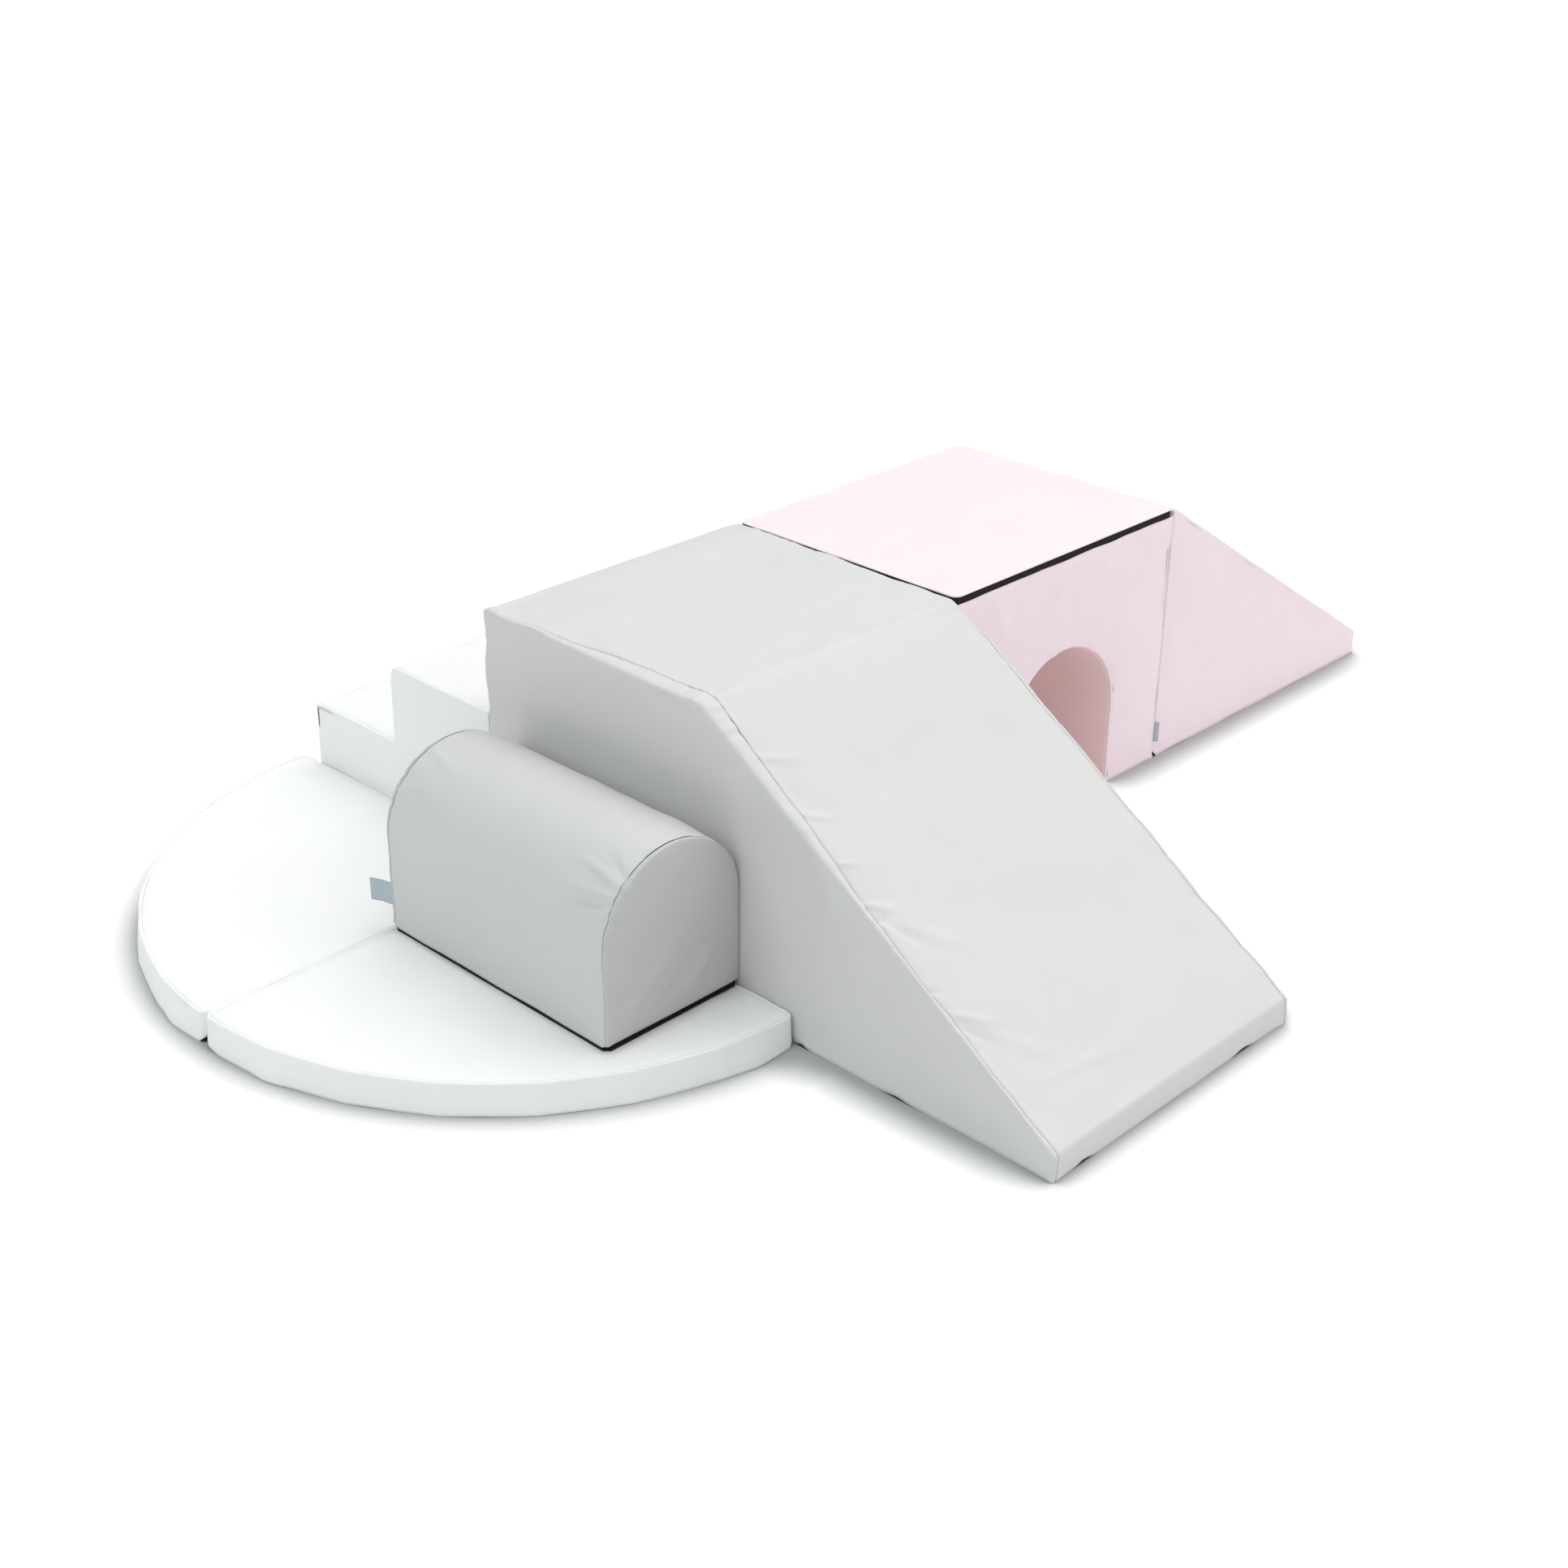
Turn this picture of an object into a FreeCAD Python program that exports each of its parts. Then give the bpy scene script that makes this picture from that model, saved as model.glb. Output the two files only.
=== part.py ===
"""Soft play climbing set: seven foam blocks in zipped leatherette covers.

A slide with a platform, a two-step stair, a tunnel block, a ramp, a half-round block and two
quarter-round mats. Every block has a foam core, a cover sewn from panels, a dark non-slip base
panel and a zip with a slider and a pull tab. Millimetres, +Z up. The origin is the middle of the
slide's underside, +X runs down the slide and +Y runs from the slide to the tunnel and the ramp.
"""
import FreeCAD, Part
import os
import re

import Sketcher

Vector = FreeCAD.Vector
Rotation = FreeCAD.Rotation

SIZES = (
    ("platform_height", 500, "top of the platform, the tunnel block and the ramp"),
    ("platform_length", 502, "slide platform along X, and the tunnel block and ramp behind it"),
    ("slide_length", 1190, "slide block, back edge to toe"),
    ("slide_width", 575, "slide block and stairs across Y"),
    ("slide_toe_height", 56, "vertical face at the foot of the slide"),
    ("tunnel_width", 606, "tunnel block across Y"),
    ("arch_width", 310, "clear width of the tunnel"),
    ("arch_height", 313, "clear height of the tunnel"),
    ("ramp_length", 710, "ramp along Y, tall side to toe"),
    ("ramp_toe_height", 48, "vertical face at the foot of the ramp"),
    ("stair_length", 500, "stairs along X"),
    ("lower_tread_depth", 233, "lower tread along X"),
    ("lower_step_height", 171, "top of the lower tread"),
    ("upper_step_height", 317, "top of the upper tread"),
    ("half_round_length", 505, "half-round block along X"),
    ("half_round_width", 270, "half-round block across Y"),
    ("half_round_height", 298, "half-round block, base to crown"),
    ("mat_radius", 625, "quarter-round mats"),
    ("mat_thickness", 53, "quarter-round mats"),
    ("mat_corner_offset", 76, "shared corner of the mats, from the back of the slide"),
    ("block_gap", 0.8, "free gap between neighbouring blocks"),
    ("edge_radius", 12, "rounded edges across the blocks"),
    ("edge_bevel", 9, "softened rims and upright corners of the blocks"),
    ("mat_corner_bevel", 9, "upright corners of the mats"),
    ("mat_edge_bevel", 5, "upper rim of the mats"),
    ("seam_margin", 7, "side panel past its bevelled rim, up to the seam"),
    ("cover_thickness", 1.2, "leatherette"),
    ("foam_clearance", 0.3, "slack between foam and cover"),
    ("base_thickness", 2, "non-slip base panel"),
    ("zip_band", 10, "exposed height of a zip"),
    ("zip_recess", 3, "zip tape set back from the cover's face"),
    ("tape_thickness", 1, "woven zip tape"),
    ("coil_width", 2, "one row of coil, up the band"),
    ("coil_proud", 0.6, "coil past the outer face of its tape"),
    ("coil_parting", 1.8, "slit between the two rows, where the slider's post runs"),
    ("zip_return", 60, "end of the tunnel zip round its last corner"),
    ("slider_clearance", 0.3, "slider to coil, tape and pull"),
    ("slider_length", 13, "along the zip"),
    ("slider_height", 8.4, "across the zip"),
    ("slider_plate", 1.2, "front and back plate of the slider"),
    ("post_length", 4, "post that joins the two plates"),
    ("post_width", 0.9, "post, across the slit"),
    ("bridge_length", 8, "loop that carries the pull, along the zip"),
    ("bridge_width", 2.2, "loop, across the zip"),
    ("bridge_stock", 1, "thickness of the loop"),
    ("pull_length", 26, "pull tab, pin to tip"),
    ("pull_width", 6.4, "pull tab"),
    ("pull_thickness", 1.2, "pull tab, and diameter of its pin"),
    ("pull_slot", 3, "slot in the tip of the pull tab"),
    ("park_margin", 8, "tip of a parked pull tab to the end of its zip"),
    ("park_angle", 12, "parked slider on a mat's arc, from the mat's end"),
    ("tag_length", 38, "side tag, out of its seam"),
    ("tag_height", 40, "side tag"),
    ("tag_thickness", 1, "folded tape of a side tag"),
    ("tag_level", 34, "lower edge of a side tag, above its block's base"),
)

# Forms reach a skirt below their block's base, and layers reach past every block, so that the
# cuts leave clean faces. Lengths under the last value count as nothing.
SKIRT = 30
REACH = 3000
TOUCHING = 1e-6

# Derived levels and depths, as formulas of the sheet's cells.
BAND_TOP = "base_thickness + zip_band"
BAND_MIDDLE = "base_thickness + zip_band / 2"
LID_BAND_LOW = "platform_height - base_thickness - zip_band"
LID_BAND_HIGH = "platform_height - base_thickness"
SEAM = "edge_bevel + seam_margin"
TAPE_BACK = "zip_recess + tape_thickness"
ZIP_DEPTH = "zip_recess + tape_thickness / 2"
CAVITY_HALF = "tape_thickness / 2 + coil_proud + slider_clearance"
SLIDER_HALF = "tape_thickness / 2 + coil_proud + slider_clearance + slider_plate"
PIN_OFFSET = f"{SLIDER_HALF} + slider_clearance + pull_thickness / 2"
RELIEF = f"{ZIP_DEPTH} + {SLIDER_HALF} + 2 * slider_clearance"

doc = FreeCAD.newDocument("soft_play_set")
sheet = doc.addObject("Spreadsheet::Sheet", "dims")
nodes = []


def fill_sheet():
    """Write every driving dimension as plain text, with its alias and its meaning."""
    for row, (alias, size, meaning) in enumerate(SIZES, start=1):
        sheet.set(f"A{row}", alias)
        sheet.set(f"B{row}", str(size))
        sheet.set(f"C{row}", meaning)
        sheet.setAlias(f"B{row}", alias)
    doc.recompute()


ALIASES = {alias for alias, size, meaning in SIZES}


def formula(text):
    """Turn a formula of plain aliases into one that reads the sheet."""
    return re.sub(r"\w+", lambda word: f"dims.{word[0]}" if word[0] in ALIASES else word[0], text)


def value(text):
    """The present value of a formula, in millimetres or degrees."""
    result = sheet.evalExpression(formula(text))
    return float(getattr(result, "Value", result))


def bind(obj, **formulas):
    """Bind properties of an object to formulas."""
    for name, text in formulas.items():
        obj.setExpression(name, formula(text))


# ---------------------------------------------------------------- sketches and bodies


def new_body(name):
    return doc.addObject("PartDesign::Body", name)


def new_sketch(body, plane):
    """An empty sketch on one of the body's own origin planes."""
    sketch = body.newObject("Sketcher::SketchObject", f"{body.Name}_{plane[:2].lower()}_sketch")
    origin_plane = next(item for item in body.Origin.OriginFeatures if item.Role == plane)
    sketch.AttachmentSupport = [(origin_plane, "")]
    sketch.MapMode = "FlatFace"
    return sketch


def pin_point(sketch, geometry, point, across, up):
    """Fix one point of a sketch at formulas measured from the sketch's origin."""
    for kind, text, axis in (("DistanceX", across, -2), ("DistanceY", up, -1)):
        size = value(text)
        if abs(size) < TOUCHING:
            sketch.addConstraint(Sketcher.Constraint("PointOnObject", geometry, point, axis))
            continue
        ends = (-1, 1, geometry, point) if size > 0 else (geometry, point, -1, 1)
        index = sketch.addConstraint(Sketcher.Constraint(kind, *ends, abs(size)))
        sketch.setExpression(f"Constraints[{index}]", formula(text if size > 0 else f"-({text})"))


def polygon(body, plane, corners):
    """A closed outline of straight lines through corners given as pairs of formulas."""
    sketch = new_sketch(body, plane)
    points = [Vector(value(across), value(up), 0) for across, up in corners]
    for index, start in enumerate(points):
        end = points[(index + 1) % len(points)]
        sketch.addGeometry(Part.LineSegment(start, end), False)
    for index, (across, up) in enumerate(corners):
        following = (index + 1) % len(corners)
        sketch.addConstraint(Sketcher.Constraint("Coincident", index, 2, following, 1))
        pin_point(sketch, index, 1, across, up)
    return sketch


def rectangle(body, plane, across, up):
    """A rectangle between two pairs of formulas."""
    corners = [(across[0], up[0]), (across[1], up[0]), (across[1], up[1]), (across[0], up[1])]
    return polygon(body, plane, corners)


def circle(body, plane, across, up, radius):
    """A circle with its centre and radius given as formulas."""
    sketch = new_sketch(body, plane)
    centre = Vector(value(across), value(up), 0)
    sketch.addGeometry(Part.Circle(centre, Vector(0, 0, 1), value(radius)), False)
    pin_point(sketch, 0, 3, across, up)
    index = sketch.addConstraint(Sketcher.Constraint("Radius", 0, value(radius)))
    sketch.setExpression(f"Constraints[{index}]", formula(radius))
    return sketch


def pad(body, sketch, length, reverse=False, both_ways=False):
    """Extrude a sketch, to one side or by half to each side."""
    feature = body.newObject("PartDesign::Pad", f"{body.Name}_pad")
    feature.Profile = sketch
    feature.Reversed = reverse
    feature.Midplane = both_ways
    bind(feature, Length=length)
    doc.recompute()
    return feature


def pocket(body, sketch, depth):
    """Cut a sketch through the body to both sides, and make sure that it removes material."""
    before = body.Shape.Volume
    feature = body.newObject("PartDesign::Pocket", f"{body.Name}_pocket")
    feature.Profile = sketch
    feature.Midplane = True
    bind(feature, Length=depth)
    doc.recompute()
    if body.Shape.Volume >= before:
        raise RuntimeError(f"{feature.Name} cuts nothing")
    return feature


def dress_edges(body, kind, wanted, **size):
    """Add a fillet or a chamfer along the edges of a body that a test picks."""
    base = body.Tip
    names = [f"Edge{index}" for index, edge in enumerate(base.Shape.Edges, start=1) if wanted(edge)]
    feature = body.newObject(f"PartDesign::{kind}", f"{body.Name}_{kind.lower()}")
    feature.Base = (base, names)
    bind(feature, **size)
    doc.recompute()


def round_edges(body, radius, wanted):
    dress_edges(body, "Fillet", wanted, Radius=radius)


def bevel_edges(body, size, wanted):
    dress_edges(body, "Chamfer", wanted, Size=size)


def top_of(edge):
    return max(vertex.Point.z for vertex in edge.Vertexes)


def is_upright(edge):
    return abs(edge.BoundBox.XLength) + abs(edge.BoundBox.YLength) < 0.01


def off_the_underside(edge):
    """True for every edge that doesn't lie in the lower face of a form."""
    return top_of(edge) > 1 - SKIRT


# ---------------------------------------------------------------- solids and booleans


def slab(name, across, along, up):
    """A box between three pairs of formulas, in its block's own axes."""
    solid = doc.addObject("Part::Box", name)
    bind(solid, Length=f"({across[1]}) - ({across[0]})", Width=f"({along[1]}) - ({along[0]})")
    bind(solid, Height=f"({up[1]}) - ({up[0]})")
    for axis, (low, high) in zip("xyz", (across, along, up)):
        solid.setExpression(f"Placement.Base.{axis}", formula(low))
    return solid


def layer(name, low, high):
    """Everything between two levels."""
    return slab(name, (f"-{REACH}", f"{REACH}"), (f"-{REACH}", f"{REACH}"), (low, high))


def inset(name, source, depth):
    """A solid whose faces all lie inside another's by a depth."""
    feature = doc.addObject("Part::Offset", name)
    feature.Source = source
    bind(feature, Value=f"-({depth})")
    doc.recompute()
    return feature


def boolean(kind, name, base, tool):
    feature = doc.addObject(f"Part::{kind}", name)
    feature.Base = base
    feature.Tool = tool
    feature.Refine = True
    doc.recompute()
    return feature


def cut(name, base, tool):
    return boolean("Cut", name, base, tool)


def common(name, base, tool):
    return boolean("Common", name, base, tool)


def fuse(name, base, tool):
    return boolean("Fuse", name, base, tool)


# ---------------------------------------------------------------- one block and its place


class Block:
    """A block's name and place. Its pieces are drawn in its own axes and then put there."""

    def __init__(self, name, x, y, z="0", turn=0):
        self.name = name
        self.base = (x, y, z)
        self.turn = turn

    def piece(self, name, shape, offset=("0", "0", "0")):
        """Make a finished object one of the block's nodes."""
        base = [f"{start} + ({shift})" for start, shift in zip(self.base, offset)]
        put(shape, base, Rotation(Vector(0, 0, 1), self.turn))
        shape.Label = f"{self.name}_{name}"
        nodes.append(shape)


def put(shape, base, rotation):
    shape.Placement = FreeCAD.Placement(Vector(), rotation)
    for axis, text in zip("xyz", base):
        shape.setExpression(f"Placement.Base.{axis}", formula(text))


BACK = "-slide_length / 2"
LEFT = "-slide_width / 2"
RIGHT = "slide_width / 2"
MAT_CORNER = f"{BACK} + mat_corner_offset"
TUNNEL_SIDE = f"{RIGHT} + block_gap"
RAMP_SIDE = f"{TUNNEL_SIDE} + tunnel_width + block_gap + tag_thickness"

SLIDE = Block("slide", BACK, LEFT)
STAIRS = Block("stairs", f"{BACK} - block_gap - stair_length", LEFT)
TUNNEL = Block("tunnel", BACK, TUNNEL_SIDE)
RAMP = Block("ramp", BACK, RAMP_SIDE)
HALF_ROUND = Block("half_round", MAT_CORNER, f"{LEFT} - block_gap - half_round_width",
                   "mat_thickness + block_gap / 2")
LEFT_MAT = Block("left_mat", f"{MAT_CORNER} - block_gap / 2", f"{LEFT} - block_gap", turn=180)
RIGHT_MAT = Block("right_mat", f"{MAT_CORNER} + block_gap / 2", f"{LEFT} - block_gap", turn=-90)


# ---------------------------------------------------------------- forms of the blocks


def prism(name, plane, corners, length, inner_corner=None):
    """A block's outer form: a side profile drawn across its width.

    The edges across the width are rounded, apart from an inner corner, and the rims are bevelled.
    """
    body = new_body(f"{name}_form")
    pad(body, polygon(body, plane, corners), length, reverse=plane == "XZ_Plane")
    extent = "YLength" if plane == "XZ_Plane" else "XLength"

    def on_a_rim(edge):
        return getattr(edge.BoundBox, extent) < 1 and off_the_underside(edge)

    def across(edge):
        if getattr(edge.BoundBox, extent) < 1 or not off_the_underside(edge):
            return False
        if inner_corner is None:
            return True
        middle = edge.CenterOfMass
        return abs(middle.x - value(inner_corner[0])) + abs(middle.z - value(inner_corner[1])) > 1

    round_edges(body, "edge_radius", across)
    bevel_edges(body, "edge_bevel", on_a_rim)
    return body


def arched(name, centre, radius, spring, length):
    """A form along X with upright sides and a half-round top."""
    body = new_body(name)
    across = (f"{centre} - ({radius})", f"{centre} + {radius}")
    pad(body, rectangle(body, "YZ_Plane", across, (f"-{SKIRT}", spring)), length)
    pad(body, circle(body, "YZ_Plane", centre, spring, radius), length)
    return body


def footprint(name, length, width, height):
    """An upright form with a rectangular plan and bevelled corners."""
    body = new_body(f"{name}_foot")
    pad(body, rectangle(body, "XZ_Plane", ("0", length), (f"-{SKIRT}", height)), width, reverse=True)
    bevel_edges(body, "edge_bevel", is_upright)
    return body


def quarter_round(name, height, rim=False):
    """An upright form with a quarter-disc plan, its corner at the origin."""
    body = new_body(name)
    feature = body.newObject("PartDesign::AdditiveCylinder", f"{name}_sector")
    origin_plane = next(item for item in body.Origin.OriginFeatures if item.Role == "XY_Plane")
    feature.AttachmentSupport = [(origin_plane, "")]
    feature.MapMode = "FlatFace"
    feature.AttachmentOffset = FreeCAD.Placement(Vector(0, 0, -SKIRT), Rotation())
    feature.Angle = 90
    bind(feature, Radius="mat_radius", Height=f"{height} + {SKIRT}")
    doc.recompute()
    bevel_edges(body, "mat_corner_bevel", is_upright)
    if rim:
        level = value(height)
        bevel_edges(body, "mat_edge_bevel", lambda edge: edge.BoundBox.ZMin > level - 1)
    return body


# ---------------------------------------------------------------- zips, bases and foam


class Band:
    """The levels of a zip: the whole band, its two tapes and its two rows of coil."""

    def __init__(self, name, low):
        middle = f"{low} + zip_band / 2"
        slit = layer(f"{name}_slit", f"{middle} - coil_parting / 2", f"{middle} + coil_parting / 2")
        rows = layer(f"{name}_rows", f"{middle} - coil_parting / 2 - coil_width",
                     f"{middle} + coil_parting / 2 + coil_width")
        self.whole = layer(f"{name}_whole", low, f"{low} + zip_band")
        self.tapes = cut(f"{name}_tapes", self.whole, slit)
        self.coils = cut(f"{name}_coils", rows, slit)


def add_zip(block, foot, hinge_side, band):
    """Two tapes with their coils round a block, except along its hinge side.

    Returns the strip that closes the band on the hinge side, as part of the panel that opens.
    """
    name = block.name
    back = inset(f"{name}_tape_back", foot, TAPE_BACK)
    tape = cut(f"{name}_tape_ring", inset(f"{name}_tape_face", foot, "zip_recess"), back)
    coil = cut(f"{name}_coil_ring", inset(f"{name}_coil_face", foot, "zip_recess - coil_proud"), back)
    rings = fuse(f"{name}_stringer_rings", common(f"{name}_tape_rings", tape, band.tapes),
                 common(f"{name}_coil_rings", coil, band.coils))
    block.piece("zip", cut(f"{name}_stringers", rings, hinge_side))
    strip = common(f"{name}_hinge_ring", tape, band.whole)
    return common(f"{name}_hinge_strip", strip, hinge_side)


def add_base(block, foot, hinge_strip):
    """The non-slip panel, turned up to the cover where it is sewn instead of zipped."""
    plate = common(f"{block.name}_plate", foot, BASE_LAYER)
    block.piece("base", fuse(f"{block.name}_base_panel", plate, hinge_strip))


def foam_core(name, form, foot):
    """Foam inside the cover, stepped in behind the zip to leave its slider room."""
    filling = inset(f"{name}_filling", form, "cover_thickness + foam_clearance")
    upper = common(f"{name}_upper_foam", filling, ABOVE_BAND)
    lower = common(f"{name}_lower_foam", inset(f"{name}_relief", foot, RELIEF), BAND.whole)
    return fuse(f"{name}_core", upper, lower)


def cover_skin(name, form):
    """The whole cover as one skin, above the zip."""
    skin = cut(f"{name}_skin", form, inset(f"{name}_lining", form, "cover_thickness"))
    return common(f"{name}_cover", skin, ABOVE_BAND)


def add_panels(block, skin, axis, width, names):
    """Divide a cover across its width: two side panels and the strip that wraps round between."""
    seams = (f"-{REACH}", SEAM, f"{width} - ({SEAM})", f"{REACH}")
    everywhere = (f"-{REACH}", f"{REACH}")
    for index, panel in enumerate(names):
        span = (seams[index], seams[index + 1])
        across = span if axis == "x" else everywhere
        along = span if axis == "y" else everywhere
        region = slab(f"{block.name}_{panel}_region", across, along, everywhere)
        block.piece(panel, common(f"{block.name}_{panel}_cut", skin, region))


def strip_along(block, across, along):
    """The hinge side of a block: a strip of its plan, at every level."""
    return slab(f"{block.name}_hinge_side", across, along, (f"-{REACH}", f"{REACH}"))


# ---------------------------------------------------------------- slider and pull tab


def add_slider(block, x, y, outward, level):
    """A zip slider and its pull tab at a point of a block's outer face.

    In the slider's own axes X is the direction of travel and Y points out of the block.
    """
    angle = value(outward)
    turn = Rotation(Vector(0, 0, 1), angle - 90)
    slider = slider_body(f"{block.name}_slider")
    pull = pull_body(f"{block.name}_pull")
    for body, label, offset in ((slider, "zip_slider", f"-({ZIP_DEPTH})"),
                                (pull, "zip_pull", f"{PIN_OFFSET} - ({ZIP_DEPTH})")):
        base = (f"{x} + ({offset}) * cos({outward})", f"{y} + ({offset}) * sin({outward})", level)
        put(body, base, turn)
        body.Label = f"{block.name}_{label}"
        nodes.append(body)


def slider_body(name):
    """Two lipped plates joined by a post, with a loop on the front plate for the pull."""
    body = new_body(name)
    front = SLIDER_HALF
    pad(body, rectangle(body, "XZ_Plane", ("-post_length / 2", "post_length / 2"),
                        ("-post_width / 2", "post_width / 2")), f"2 * ({front})", both_ways=True)
    edge = "slider_height / 2"
    lip = "coil_parting / 2 + coil_width + slider_clearance"
    slot = "tape_thickness / 2 + slider_clearance"
    profile = [(CAVITY_HALF, f"-({lip})"), (slot, f"-({lip})"), (slot, f"-{edge}"), (front, f"-{edge}"),
               (front, edge), (slot, edge), (slot, lip), (CAVITY_HALF, lip)]
    plate = pad(body, polygon(body, "YZ_Plane", profile), "slider_length", both_ways=True)
    mirror = body.newObject("PartDesign::Mirrored", f"{name}_mirror")
    mirror.Originals = [plate]
    mirror_plane = next(item for item in body.Origin.OriginFeatures if item.Role == "XZ_Plane")
    mirror.MirrorPlane = (mirror_plane, [""])
    body.Tip = mirror
    doc.recompute()
    end = value("slider_length") / 2 - TOUCHING
    rim = value(edge) - TOUCHING
    bevel_edges(body, "slider_plate",
                lambda item: abs(item.CenterOfMass.x) > end and abs(item.CenterOfMass.z) > rim)
    add_bridge(body)
    return body


def add_bridge(body):
    """The loop on the slider's front plate."""
    root = f"{SLIDER_HALF} - slider_plate / 2"
    inside = f"{SLIDER_HALF} + 2 * slider_clearance + pull_thickness"
    top = f"{inside} + bridge_stock"
    foot = "bridge_length / 2"
    shoulder = "bridge_length / 2 - bridge_stock"
    crown = "bridge_length / 2 - 2 * bridge_stock"
    loop = [(f"-{foot}", root), (f"-({shoulder})", top), (shoulder, top), (foot, root),
            (f"{foot} - bridge_stock", root), (crown, inside), (f"-({crown})", inside),
            (f"-({foot} - bridge_stock)", root)]
    pad(body, polygon(body, "XY_Plane", loop), "bridge_width", both_ways=True)


def pull_body(name):
    """A tab that swings on its pin under the slider's loop. The pin is at the origin."""
    body = new_body(name)
    half = "pull_width / 2"
    window_end = "bridge_length / 2 + pull_thickness"
    shaft = "bridge_width / 2 + slider_clearance"
    pad(body, circle(body, "XY_Plane", "0", "0", "pull_thickness / 2"), "pull_width", both_ways=True)
    pad(body, rectangle(body, "XZ_Plane", ("0", "pull_length"), (f"-{half}", half)),
        "pull_thickness", both_ways=True)
    tip = value("pull_length") - TOUCHING
    bevel_edges(body, "pull_thickness",
                lambda edge: edge.CenterOfMass.x > tip and edge.BoundBox.YLength > TOUCHING)
    pocket(body, rectangle(body, "XZ_Plane", ("pull_thickness / 2", window_end),
                           (f"-({shaft})", shaft)), "2 * pull_thickness")
    slot = ("pull_length - 2 * pull_slot", "pull_length - pull_slot")
    pocket(body, rectangle(body, "XZ_Plane", slot, ("-pull_slot / 2", "pull_slot / 2")),
           "2 * pull_thickness")
    return body


def tag_body(name):
    """A strip of tape folded double, its fold at the origin."""
    body = new_body(name)
    pad(body, rectangle(body, "XZ_Plane", ("0", "tag_length"), ("0", "tag_height")),
        "tag_thickness", reverse=True)
    round_edges(body, "0.45 * tag_thickness", lambda edge: is_upright(edge) and edge.CenterOfMass.x < 1)
    return body


# ---------------------------------------------------------------- the seven blocks


PARK = f"{SEAM} + pull_length + park_margin"


def build_slide():
    block = SLIDE
    profile = [("0", f"-{SKIRT}"), ("slide_length", f"-{SKIRT}"), ("slide_length", "slide_toe_height"),
               ("platform_length", "platform_height"), ("0", "platform_height")]
    form = prism(block.name, "XZ_Plane", profile, "slide_width")
    foot = footprint(block.name, "slide_length", "slide_width", f"{SKIRT}")
    back = strip_along(block, (f"-{REACH}", SEAM), (f"-{REACH}", f"{REACH}"))
    block.piece("foam", foam_core(block.name, form, foot))
    add_panels(block, cover_skin(block.name, form), "y", "slide_width",
               ("left_panel", "top_panel", "right_panel"))
    add_base(block, foot, add_zip(block, foot, back, BAND))
    add_slider(block, f"{BACK} + slide_length - ({PARK})", RIGHT, "90", BAND_MIDDLE)


def build_stairs():
    block = STAIRS
    profile = [("0", f"-{SKIRT}"), ("stair_length", f"-{SKIRT}"), ("stair_length", "upper_step_height"),
               ("lower_tread_depth", "upper_step_height"), ("lower_tread_depth", "lower_step_height"),
               ("0", "lower_step_height")]
    form = prism(block.name, "XZ_Plane", profile, "slide_width", profile[4])
    foot = footprint(block.name, "stair_length", "slide_width", f"{SKIRT}")
    back = strip_along(block, (f"stair_length - ({SEAM})", f"{REACH}"), (f"-{REACH}", f"{REACH}"))
    block.piece("foam", foam_core(block.name, form, foot))
    add_panels(block, cover_skin(block.name, form), "y", "slide_width",
               ("left_panel", "tread_panel", "right_panel"))
    add_base(block, foot, add_zip(block, foot, back, BAND))
    add_slider(block, f"{BACK} - block_gap - ({PARK})", RIGHT, "90", BAND_MIDDLE)


def build_ramp():
    block = RAMP
    profile = [("0", f"-{SKIRT}"), ("ramp_length", f"-{SKIRT}"), ("ramp_length", "ramp_toe_height"),
               ("0", "platform_height")]
    form = prism(block.name, "YZ_Plane", profile, "platform_length")
    foot = footprint(block.name, "platform_length", "ramp_length", f"{SKIRT}")
    tall_side = strip_along(block, (f"-{REACH}", f"{REACH}"), (f"-{REACH}", SEAM))
    block.piece("foam", foam_core(block.name, form, foot))
    add_panels(block, cover_skin(block.name, form), "x", "platform_length",
               ("back_panel", "top_panel", "front_panel"))
    add_base(block, foot, add_zip(block, foot, tall_side, BAND))
    add_slider(block, BACK, f"{RAMP_SIDE} + ramp_length - ({PARK})", "180", BAND_MIDDLE)
    block.piece("side_tag", tag_body("ramp_tag"),
                ("platform_length - edge_radius - tag_length", "-tag_thickness", "tag_level"))


def build_half_round():
    block = HALF_ROUND
    radius = "half_round_width / 2"
    spring = "half_round_height - half_round_width / 2"
    form = arched("half_round_form", radius, radius, spring, "half_round_length")
    bevel_edges(form, "edge_bevel", lambda edge: off_the_underside(edge) and edge.BoundBox.XLength < 1)
    foot = footprint(block.name, "half_round_length", "half_round_width", f"{SKIRT}")
    slide_side = strip_along(block, (f"-{REACH}", f"{REACH}"),
                             (f"half_round_width - ({SEAM})", f"{REACH}"))
    block.piece("foam", foam_core(block.name, form, foot))
    add_panels(block, cover_skin(block.name, form), "x", "half_round_length",
               ("back_panel", "roof_panel", "front_panel"))
    add_base(block, foot, add_zip(block, foot, slide_side, BAND))
    add_slider(block, MAT_CORNER, f"{LEFT} - block_gap - ({PARK})", "180",
               f"{HALF_ROUND.base[2]} + {BAND_MIDDLE}")
    block.piece("side_tag", tag_body("half_round_tag"), ("-tag_length", "edge_radius", "tag_level"))


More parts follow.
